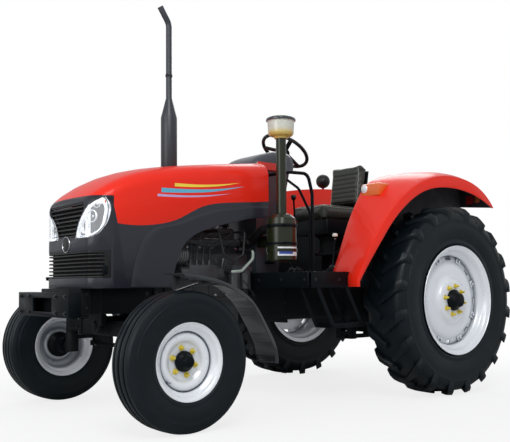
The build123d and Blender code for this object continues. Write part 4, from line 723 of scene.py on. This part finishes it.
def nose_y(x):
    """How far forward the nose is at a distance from its middle."""
    return NOSE_Y + 192 * (1 - (1 - min(1.0, max(0.0, (abs(x) - 262) / 98)) ** 2) ** 0.5)


def mirror(place, out, radius):
    return turned([(0, radius), (3, radius + 3), (4, radius), (-8, radius * 0.93), (-20, radius * 0.74),
                   (-30, radius * 0.42), (-34, 0.5), (-37, 0.5), (-33, radius * 0.46), (-10, radius + 2)],
                  place, out, 40)


def bulb(place, out, _):
    return join(cylinder(place - out * 30, place - out * 12, 7, sides=16, soft=1.0),
                cylinder(place - out * 13, place - out * 8, 9, 6, sides=16, soft=1.0))


def in_reflectors(make):
    """What make gives in each reflector of a headlamp, facing forward and a little out."""
    shape = bmesh.new()
    for x, z, radius, turn in REFLECTORS:
        out = Vector((sin(radians(turn)), -cos(radians(turn)), 0))
        join(shape, make(Vector((x, nose_y(x) + 16, z)), out, radius))
    return shape


on_both_sides("headlamp_mirrors_{}", lambda: in_reflectors(mirror), CHROME)
on_both_sides("headlamp_bulbs_{}", lambda: in_reflectors(bulb), BULB)
on_both_sides("indicator_bulb_{}", lambda: cylinder((338, -2570, 1352), (338, -2562, 1352), 10, 10, 20, 2), AMBER)
on_both_sides("headlamp_trim_{}", lambda: pipe([(x, nose_y(x) - 0.5, z) for x, z in LAMP_RIM], 2.4, 12, True), GREY)
low, high = ([(x, 0, z) for x in (-348, 0, 348)] for z in (872, 1338))
finished("nose_screen", sheet(low, high, 64, 2, 2, lambda p, u, v: (p.x, nose_y(p.x) + 30, p.z)), SCREEN)
ring = [(52 * cos(i * pi / 8), NOSE_Y - 2, BADGE_Z + 50 * sin(i * pi / 8)) for i in range(16)]
finished("badge_ring", pipe(ring, 3.6, 12, True), STEEL)
finished("badge_plate", cylinder((0, NOSE_Y + 1, BADGE_Z), (0, NOSE_Y - 3, BADGE_Z), 46, sides=48, soft=0.8), PLASTIC)


def side_flare():
    """The raised arch of the side panel, from its crease down to the engine's opening."""
    crease, arch = ([(361, y, z) for y, z in line] for line in (
        [(-2399, 830), (-2388, 921), (-2358, 1035), (-2312, 1130), (-2225, 1203), (-2080, 1236), (-1920, 1296),
         (-1720, 1352), (-1480, 1384), (-1302, 1394)],
        [(-2121, 830), (-2090, 923), (-2055, 1025), (-2007, 1109), (-1920, 1176), (-1815, 1217), (-1700, 1249),
         (-1560, 1281), (-1420, 1309), (-1302, 1320)]))
    return sheet(crease, arch, 60, 14, 2.2, lambda p, u, v: (
        p.x - 1 + 9 * min(1.0, v / 0.14) ** 0.6 - 4 * max(0.0, v - 0.14), p.y, p.z))


on_both_sides("side_flare_{}", side_flare, GREY, sharp=60)


def stripe(points, half):
    """One long tapering band on the bonnet's side, in mm along and up."""
    def edge(rise):
        return [(360.4, y, z + rise * (1 - i / (len(points) - 1)) ** 0.6) for i, (y, z) in enumerate(points)]
    return sheet(edge(-half), edge(half), 40, 1, 0.7)


STRIPES = {
    # colour, middle line, half width
    "sky": ((0.1, 0.46, 0.66), [(-2180, 1448), (-1960, 1458), (-1740, 1480), (-1500, 1524)], 15),
    "sun": ((0.95, 0.72, 0.05), [(-2080, 1490), (-1900, 1497), (-1720, 1515), (-1540, 1546)], 11),
    "lilac": ((0.5, 0.4, 0.7), [(-2210, 1414), (-2000, 1420), (-1800, 1438), (-1620, 1466)], 8),
}
for word, (colour, points, half) in STRIPES.items():
    film = Finish("stripe_" + word, colour, 0.3, coat=(0.5, 0.1)).uneven(30.0, 0.24, 0.36)
    on_both_sides("stripe_" + word + "_{}", lambda: stripe(points, half), film)

# ---------------- air cleaner and precleaner
AIR = (500.0, -1290.0)
CLAMP_ZS = (1122, 1246)
SLIM = (0.92, 0.92, 0.84)       # the bowl against its solid


def band(radius, low, high, first, last, thick=1.4):
    """Part of a sleeve round the air cleaner, between two angles in degrees."""
    def ring(z):
        angles = [radians(first + (last - first) * i / 12) for i in range(13)]
        return [(AIR[0] + radius * cos(a), AIR[1] + radius * sin(a), z) for a in angles]
    return sheet(ring(low), ring(high), 24, 1, thick)


LABEL_WHITE = Finish("label_white", (0.8, 0.82, 0.84), 0.4).uneven(40.0, 0.35, 0.5)
LABEL_BLUE = Finish("label_blue", (0.02, 0.06, 0.34), 0.35).uneven(40.0, 0.3, 0.45)
finished("cleaner_label", band(107.6, 1036, 1098, -56, 34), LABEL_WHITE)
finished("cleaner_label_field", band(109.2, 1048, 1086, -50, 4), LABEL_BLUE)
bands = together([
    turned([(-9, 107), (-9, 110), (-6, 111), (6, 111), (9, 110), (9, 107)], (*AIR, CLAMP_ZS[0]), UP, 64),
    turned([(-11, 107), (-11, 111), (-8, 112.5), (8, 112.5), (11, 111), (11, 107)], (*AIR, CLAMP_ZS[1]), UP, 64)])
for z in CLAMP_ZS:
    x, y = AIR
    join(bands, slab((x + 92, y - 66, z - 8), (x + 116, y - 40, z + 8), 2))
    join(bands, cylinder((x + 104, y - 84, z), (x + 104, y - 34, z), 3.5, sides=12, soft=0.5))
finished("cleaner_clamps", bands, BLACK)
BOWL = Finish("precleaner_bowl", (0.7, 0.68, 0.55), 0.25, coat=(0.6, 0.06))
height = BOWL.axis(2)
BOWL.two_tone(height > 1.985, BOWL.mix(height.over(1.89, 1.94), (0.62, 0.46, 0.12), (0.62, 0.63, 0.55)),
              (0.03, 0.04, 0.045))
foot = Matrix.Translation(mm(*AIR, 1862))
dressed("precleaner", BOWL, 3, 25, 3).data.transform(foot @ Matrix.Diagonal((*SLIM, 1)) @ foot.inverted())
finished("precleaner_lid", together([
    turned([(-6, 60), (-6, 101), (-3, 104), (8, 104), (13, 101), (20, 86), (22, 60)], (*AIR, 1992), UP, 72),
    turned([(0, 0.5), (0, 14), (10, 14), (14, 9), (14, 0.5)], (*AIR, 2010), UP, 6)]), PLASTIC)

# ---------------- seat
VINYL = vinyl()
PIPING = Finish("seat_piping", (0.26, 0.28, 0.24), 0.5).uneven(80.0, 0.4, 0.6)
SEAT_Y = -290.0


def channel(along, pitch):
    """Depth in metres of sewn rows a pitch apart."""
    return 0.006 * (1 - min(1.0, abs(sin(along / pitch * pi)) * 1.5))


def back_channels(place, out):
    """Sewn rows across the front of the seat's back, inside a border."""
    x, z = place.x * 1000, place.z * 1000
    if out.y > -0.4 or abs(x) > 138 or not 1530 < z < 1800:
        edge = abs(abs(x) - 142) < 5 and 1526 < z < 1806 or abs(z - 1804) < 5 and abs(x) < 142
        return Vector((0, 0.004, 0)) if out.y < -0.4 and edge else Vector()
    return Vector((0, channel(z - 1530, 38), 0))


def cushion_channels(place, out):
    x, y = place.x * 1000, (place.y - SHIFT) * 1000
    if out.z < 0.4 or abs(x) > 150 or not SEAT_Y - 255 < y < SEAT_Y + 70:
        return Vector()
    return Vector((0, 0, -channel(y - SEAT_Y, 42)))


SEAT_BACK = swollen("seat_back", 0.007, 0.011, VINYL, back_channels)
CUSHION = swollen("seat_cushion", 0.008, 0.014, VINYL, cushion_channels, 0.006)


def laid_on(obj, loop, radius, cyclic=False):
    """A cord of piping laid on a cushion along a loop of places in mm."""
    places = []
    for i in range(80 if cyclic else 81):
        _, at, out, _ = obj.closest_point_on_mesh(mm(*smooth_through(loop, i / 80)))
        at = at + out * 0.001
        places.append((at.x * 1000, (at.y - SHIFT) * 1000, at.z * 1000))
    return pipe(places, radius, 12, cyclic)


def seat_piping():
    half, front = 166, SEAT_Y + 110
    loop = [(-half, front, 1512), (-half, front + 10, 1600), (-half, front + 20, 1760), (-half + 14, front + 26, 1820),
            (-half + 50, front + 28, 1836), (0, front + 28, 1840)]
    loop += [(-x, y, z) for x, y, z in reversed(loop[:-1])]
    wide = 184
    ring = [(x, SEAT_Y + y, 1470) for x, y in (
        (-wide, -60), (-wide, 60), (24 - wide, 92), (wide - 24, 92), (wide, 60), (wide, -60), (wide, -240),
        (wide - 30, -276), (30 - wide, -276), (-wide, -240), (-wide, -60))]
    return join(laid_on(SEAT_BACK, loop, 3.4), laid_on(CUSHION, ring, 3.4, True))


finished("seat_piping", seat_piping(), PIPING)

# ---------------- fenders, lamps and inner panels
UNDERSIDE = Finish("fender_underside", (0.045, 0.042, 0.052), 0.6)
UNDERSIDE.two_tone(UNDERSIDE.noise(6.0, 5.0).over(0.4, 0.75), (0.034, 0.032, 0.04), (0.085, 0.078, 0.082))
for word, side in SIDES.items():
    cover = bpy.data.objects["fender_" + word + "_dressed"]
    cover.data.materials.append(UNDERSIDE.material)
    wheel = Vector((0.8 * side, SHIFT, 0.95))
    for face in cover.data.polygons:
        face.material_index = int(face.normal.dot(face.center - wheel) < 0)
on_both_sides("fender_inner_panel_{}", lambda: sheet(
    [(597, -850, 940), (597, -200, 940), (597, 430, 940)],
    [(597, -668, 1400), (597, -120, 1400), (597, 430, 1400)], 12, 6, 2.5), BLACK)
dressed("fender_lamps", AMBER, 4, 25, 3)
on_both_sides("marker_lens_{}", lambda: cylinder((652, -600, 1545), (652, -614, 1545), 26, 22, 40, 4), CLEAR)
on_both_sides("marker_rim_{}", lambda: turned([(0, 24), (0, 30), (7, 30), (9, 28), (9, 24)], (652, -600, 1545), -BACK),
              CHROME)
TAIL = Finish("tail_lens", (0.52, 0.01, 0.012), 0.14, coat=(0.8, 0.05)).ribs(60.0, 0.4)
on_both_sides("tail_lamp_{}", lambda: slab((690, 596, 1500), (782, 641, 1572), 5), TAIL)
on_both_sides("tail_lamp_turn_{}", lambda: slab((792, 572, 1504), (846, 618, 1568), 5), AMBER)

# ---------------- bolts
BOLTS = [
    # piece, out of the face, size, places in mm; a piece with {} in its name is on both sides
    ("bracket_bolts", -BACK, 15, [(x, -2820, z) for x in (-340, -205, 205, 340) for z in (675, 775)]),
    ("support_bolts_{}", OUT, 13, [(205, y, z) for y in (-2690, -2620, -2200, -2130) for z in (700, 785)]),
    ("clutch_flange_bolts", BACK, 11, [(x, -1308, z) for x in (-221, 221) for z in (600, 680, 760, 840)]),
    ("clutch_front_bolts", -BACK, 11, [(x, -1330, z) for x in (-221, 221) for z in (600, 680, 760)]),
    ("gearbox_bolts", -BACK, 11, [(x, -1021, z) for x in (-219, 219) for z in (600, 700, 800, 880)]),
    ("lift_cover_bolts", UP, 12, [(x, y, 1075) for x in (-120, 120) for y in (120, 200, 265)]),
    ("skirt_bolts_{}", OUT, 11, [(850, y, 870) for y in (-1300, -1080, -860)]),
    ("skirt_front_bolts", -BACK, 11, [(x, -1350, 870) for x in (-800, -560, -320, 320, 560, 800)]),
    ("fender_bolts_{}", -OUT, 11, [(600, y, z) for y, z in (
        (-760, 980), (-640, 1240), (-380, 1500), (0, 1560), (360, 1560))]),
]
for label, out, size, places in BOLTS:
    for word, side in SIDES.items() if "{}" in label else [("", 1)]:
        across = Vector((side, 1, 1))
        heads = (hexagon_head(Vector(place) * across, out * across, size, size * 0.6) for place in places)
        finished(label.format(word), together(heads), BOLT)


def brake_bolts():
    axle = (0, 0, REAR[2])
    outer = [hexagon_head(on_circle(axle, 243.4, 163, i * pi / 4 + 0.4), OUT, 12, 9) for i in range(8)]
    return together(outer + [hexagon_head(on_circle(axle, 569, 104, i * pi / 3), -OUT, 12, 9) for i in range(6)])


on_both_sides("axle_bolts_{}", brake_bolts, BOLT)

# ---------------- engine bay
BELT = Finish("fan_belt", (0.01, 0.01, 0.011), 0.7).uneven(90.0, 0.6, 0.8)
WIRE = Finish("wire_sleeve", (0.012, 0.012, 0.013), 0.55).uneven(60.0, 0.45, 0.65)
PULLEYS = [
    # x, z, radius, first and last angle in degrees: crank, alternator and fan
    (0, 902, 74, 172, 314), (190, 1040, 40, -46, 77), (0, 1085, 50, 77, 172),
]
belt = []
for x, z, radius, first, last in PULLEYS:
    for i in range(7):
        angle = radians(first + (last - first) * i / 6)
        belt.append((x + radius * cos(angle), -2032, z + radius * sin(angle)))
finished("fan_belt", pipe(belt, 6.5, 8, True), BELT)
WIRES = [
    # radius, route in mm
    (5, [(236, -1990, 1160), (262, -1900, 1120), (268, -1740, 1105), (258, -1560, 1120), (214, -1400, 1190)]),
    (4, [(176, -1980, 1085), (210, -1900, 1150), (214, -1700, 1178), (196, -1480, 1215), (150, -1330, 1240)]),
    (6, [(-205, -1960, 900), (-236, -1840, 860), (-240, -1640, 850), (-222, -1460, 905), (-190, -1340, 990)]),
    (5, [(212, -1440, 900), (250, -1430, 860), (262, -1380, 800), (252, -1340, 760)]),
    (7, [(150, -1900, 800), (212, -1880, 770), (220, -1700, 752), (214, -1500, 760), (160, -1420, 790)]),
]
finished("engine_loom", together(pipe(route, radius) for radius, route in WIRES), WIRE)


def block_fittings():
    """Bolts of the rocker cover and the block, the filler's cap and the dipstick."""
    heads = [((x, -1915 + i * 60, 1251.5), UP, 9, 7) for i in range(9) for x in (-57, 57)]
    for i in range(6):
        heads += [((115, -1930 + i * 105, 1105), OUT, 10, 8), ((150, -1925 + i * 105, 766), OUT, 10, 8)]
    return together([hexagon_head(*head) for head in heads] + [
        cylinder((0, -1500, 1250), (0, -1500, 1284), 32, 28, 32, 2),
        cylinder((148, -1570, 885), (186, -1570, 1010), 4, 4, 12, 0.5),
        cylinder((184, -1570, 1004), (190, -1570, 1024), 8, 8, 16, 1)])


finished("engine_fittings", block_fittings(), STEEL)
ALLOY = Finish("cast_alloy", (0.16, 0.17, 0.18), 0.45, 0.4).uneven(60.0, 0.38, 0.5)
fin = [(0, 30), (0, 60), (5, 60.5), (9, 60), (9, 30)]
finished("alternator_fins", together(turned(fin, (190, -1982 + i * 17, 1040), BACK, 40) for i in range(5)), ALLOY)
FILTER = Finish("filter_paint", (0.04, 0.045, 0.05), 0.35, coat=(0.3, 0.03)).uneven(40.0, 0.3, 0.42)
can = [(0, 0.5), (0, 38), (6, 44), (100, 44), (108, 42), (112, 34), (112, 0.5)]
finished("filter_cans", together(turned(can, (212, y, 812), UP, 40) for y in (-1492, -1396)), FILTER)
low, high = ([(-94, y, z) for y in (-1780, -1310)] for z in (1172, 1345))
finished("heat_shield", sheet(low, high, 24, 8, 2, lambda p, u, v: (p.x - 3 * abs(sin(u * 6 * pi)), p.y, p.z)), STACK,
         sharp=50)


# ---------------- floor, steps and controls
def tread_plates():
    """Raised bars of the floor's chequer plate, clear of the console and the rail's foot."""
    moves, home = [], Matrix.Translation(-mm(0, 0, 0))
    for row in range(10):
        for column in range(13):
            x, y = 262 + column * 46, -1318 + row * 46
            if abs(x - 470) < 56 and y > -1030:
                continue
            turn = Matrix.Rotation(radians(45 if (row + column) % 2 else -45), 4, "Z")
            moves.append(Matrix.Translation(mm(x, y, 0)) @ turn @ home)
    return copies(slab((-15, -3.2, 921.6), (15, 3.2, 924.6), 1.2), moves)


on_both_sides("floor_tread_{}", tread_plates, BLACK)
on_both_sides("step_tread_{}", lambda: together(
    slab((684, -1122 + row * 44, 545), (834, -1114 + row * 44, 549), 1.2) for row in range(7)), BLACK)
KNOB_WHITE, KNOB_RED, KNOB_YELLOW = (
    Finish("knob_" + word, colour, 0.3, coat=(0.4, 0.03)).uneven(50.0, 0.25, 0.36) for word, colour in (
        ("white", (0.72, 0.7, 0.62)), ("red", (0.5, 0.02, 0.015)), ("yellow", (0.75, 0.48, 0.03))))
KNOB = [(-20, 0.5), (-20, 9), (-8, 17), (4, 21), (14, 20), (21, 13), (23, 0.5)]
for word, film, place in (("side", KNOB_WHITE, (570, -836, 1188)), ("lift", KNOB_YELLOW, (-420, -580, 1422)),
                          ("range", KNOB_RED, (-90, -790, 1362)), ("gear", PLASTIC, (200, -910, 1502))):
    finished("lever_knob_" + word, turned(KNOB, place, UP, 32), film)
BOOT = [(-4, 0.5), (-4, 46), (2, 48), (6, 42), (11, 45), (16, 38), (22, 40), (27, 30), (33, 32), (40, 20), (50, 14),
        (54, 0.5)]
LEVERS = [
    # foot of a lever, and how it leans
    ((80, -760, 927), (120, -150, 578)), ((-60, -700, 927), (-30, -90, 438)), ((560, -860, 927), (10, 24, 264)),
    ((-420, -640, 927), (0, 60, 498)),
]
finished("lever_boots", together(turned(BOOT, foot, lean, 32) for foot, lean in LEVERS), RUBBER, sharp=60)
rail_feet = slab((436, -1014, 921), (504, -942, 928), 2)
for x in (447, 493):
    for y in (-1003, -953):
        join(rail_feet, hexagon_head((x, y, 927.5), UP, 9, 7))
finished("rail_feet", join(rail_feet, cylinder((189, -1215, 1640), (197, -1215, 1640), 27, 27, 32, 1.2)), BLACK)
GLASS = Finish("gauge_glass", (0.02, 0.022, 0.025), 0.08, coat=(1.0, 0.03)).uneven(20.0, 0.06, 0.12)
PANEL_OUT = Vector((0, 0.642, 0.767))
finished("gauge_panel", sheet([(-168, -952, 1858), (168, -952, 1858)], [(-168, -880, 1797), (168, -880, 1797)],
                              8, 4, 9), PLASTIC)
gauges, bezels = bmesh.new(), bmesh.new()
for x, radius in ((-124, 27), (-48, 37), (48, 37), (124, 27)):
    place = Vector((x, -916, 1827.5)) + PANEL_OUT * 4
    join(gauges, cylinder(place - PANEL_OUT * 4, place + PANEL_OUT * 3, radius, radius, 40, 1))
    join(bezels, turned([(-3, radius), (-3, radius + 4), (5, radius + 5), (7, radius + 2), (5, radius - 1)], place,
                        PANEL_OUT, 40))
finished("gauge_faces", gauges, GLASS)
finished("gauge_rims", bezels, STEEL)
WHEEL_AXIS = Vector((0, sin(radians(34)), cos(radians(34))))
finished("steering_cap", turned([(-14, 0.5), (-14, 42), (-6, 44), (2, 40), (8, 26), (10, 0.5)],
                                Vector((0, -819, 1901)) - WHEEL_AXIS, WHEEL_AXIS, 40), PLASTIC, "steering_wheel_body")

# ---------------- rear end
spline = slab((-5, 300, 625), (5, 378, 630.5), 0.8)
finished("pto_splines", turned_copies(spline, (0, 340, 610), [i * 60 for i in range(6)], "Y"), STEEL)
guard = [(-112, 268, 560), (-112, 268, 660), (-96, 268, 704), (-50, 268, 722), (50, 268, 722), (96, 268, 704),
         (112, 268, 660), (112, 268, 560)]
finished("pto_guard", sheet(guard, [(x, 395, z) for x, _, z in guard], 28, 2, 4), BLACK)


def at_couplers(profile):
    return together(turned(profile, (x, 288, 1010), BACK, 32) for x in (-66, -22, 22, 66))


finished("hydraulic_couplers", at_couplers([(0, 0.5), (0, 15), (20, 15), (22, 19), (42, 19), (44, 14), (60, 13),
                                            (60, 0.5)]), STEEL)
finished("coupler_caps", at_couplers([(58, 0.5), (58, 16), (62, 18), (76, 17), (80, 12), (80, 0.5)]), KNOB_RED)

# ---------------- sheet metal trim
finished("nose_lug", join(slab((-371, -2590, 906), (-355, -2560, 959), 3),
                          slab((355, -2590, 906), (371, -2560, 959), 3)), BLACK)
on_both_sides("bonnet_latch_{}", lambda: join(slab((359, -1368, 1352), (366, -1326, 1374), 3),
                                              cylinder((360, -1347, 1363), (369, -1347, 1363), 6, 5, 20, 1)), PLASTIC)
finished("exhaust_clamps", together([
    turned([(-12, 56), (-12, 61), (-9, 62.5), (9, 62.5), (12, 61), (12, 56)], (0, -1900, 1640), UP, 64),
    turned([(-9, 20), (-9, 24), (-6, 25), (6, 25), (9, 24), (9, 20)], (0, -1900, 2318), UP, 48),
    cylinder((18, -1934, 2318), (18, -1914, 2318), 4, 4, 12, 0.6)]), BOLT)


# ---------------- camera, floor and light
def camera():
    data = bpy.data.cameras.new("camera")
    obj = linked("camera", data)
    turn = Matrix.Rotation(0.8856, 4, "Z") @ Matrix.Rotation(pi / 2 + 0.0456, 4, "X") @ Matrix.Rotation(-0.0066, 4, "Z")
    obj.matrix_world = Matrix.Translation((4.4164, -3.739, 0.8398)) @ turn
    data.sensor_width, data.lens = 36.0, 52.14
    data.shift_x, data.shift_y = -0.0171, 0.0582
    data.clip_end = 100.0
    bpy.context.scene.camera = obj


def area_light(name, place, target, size, power):
    data = bpy.data.lights.new(name, "AREA")
    data.shape, data.size, data.energy = "DISK", size, power
    obj = linked(name, data)
    obj.location = place
    obj.rotation_euler = (Vector(target) - Vector(place)).to_track_quat("-Z", "Y").to_euler()


def seen_by(tree, ray):
    """1 for one kind of ray and 0 for the others."""
    return Socket(tree, tree.nodes.new("ShaderNodeLightPath").outputs[ray])


def world():
    """Soft light, behind which the camera and glass see plain white, and gloss sees it in part."""
    made = bpy.data.worlds.new("studio")
    bpy.context.scene.world = made
    made.use_nodes = True
    tree = made.node_tree
    lit = add(tree, "ShaderNodeBackground", None, (0.93, 0.96, 1.0), 0.42)
    white = add(tree, "ShaderNodeBackground", None, (1.0, 1.0, 1.0), 1.0)
    seen = seen_by(tree, "Is Camera Ray")
    seen = seen.math("MAXIMUM", seen, seen_by(tree, "Is Transmission Ray"))
    seen = seen.math("MAXIMUM", seen, 0.35 * seen_by(tree, "Is Glossy Ray"))
    mixed = add(tree, "ShaderNodeMixShader", None, seen, lit, white)
    tree.links.new(mixed.socket, tree.nodes["World Output"].inputs["Surface"])


def floor():
    """A pale floor that keeps the shadows near the tractor and turns white further out."""
    shape = bmesh.new()
    bmesh.ops.create_grid(shape, x_segments=1, y_segments=1, size=30.0)
    mesh = bpy.data.meshes.new("floor")
    shape.to_mesh(mesh)
    shape.free()
    finish = Finish("floor_white", (0.9, 0.9, 0.9), 0.9)
    tree = finish.tree
    finish.set(Base_Color=0.9 - 0.45 * seen_by(tree, "Is Glossy Ray"))
    glow = add(tree, "ShaderNodeEmission", None, (1.0, 1.0, 1.0), 1.0)
    far = (finish.axis(0) ** 2 + finish.axis(1) ** 2).math("SQRT").over(1.6, 4.6)
    share = seen_by(tree, "Is Camera Ray") * (0.8 + 0.2 * far)
    mixed = add(tree, "ShaderNodeMixShader", None, share, Socket(tree, finish.shader.outputs[0]), glow)
    tree.links.new(mixed.socket, tree.nodes["Material Output"].inputs["Surface"])
    mesh.materials.append(finish.material)
    linked("floor", mesh)


world()
floor()
area_light("key", (5.5, -4.0, 6.5), (0.0, -0.2, 0.9), 4.0, 250.0)
area_light("fill", (1.5, -8.0, 3.5), (0.0, -0.6, 0.9), 5.0, 150.0)
area_light("rim", (-4.0, 5.0, 6.0), (0.0, 0.5, 1.0), 4.0, 130.0)
bpy.context.scene.view_settings.view_transform = "Standard"
camera()
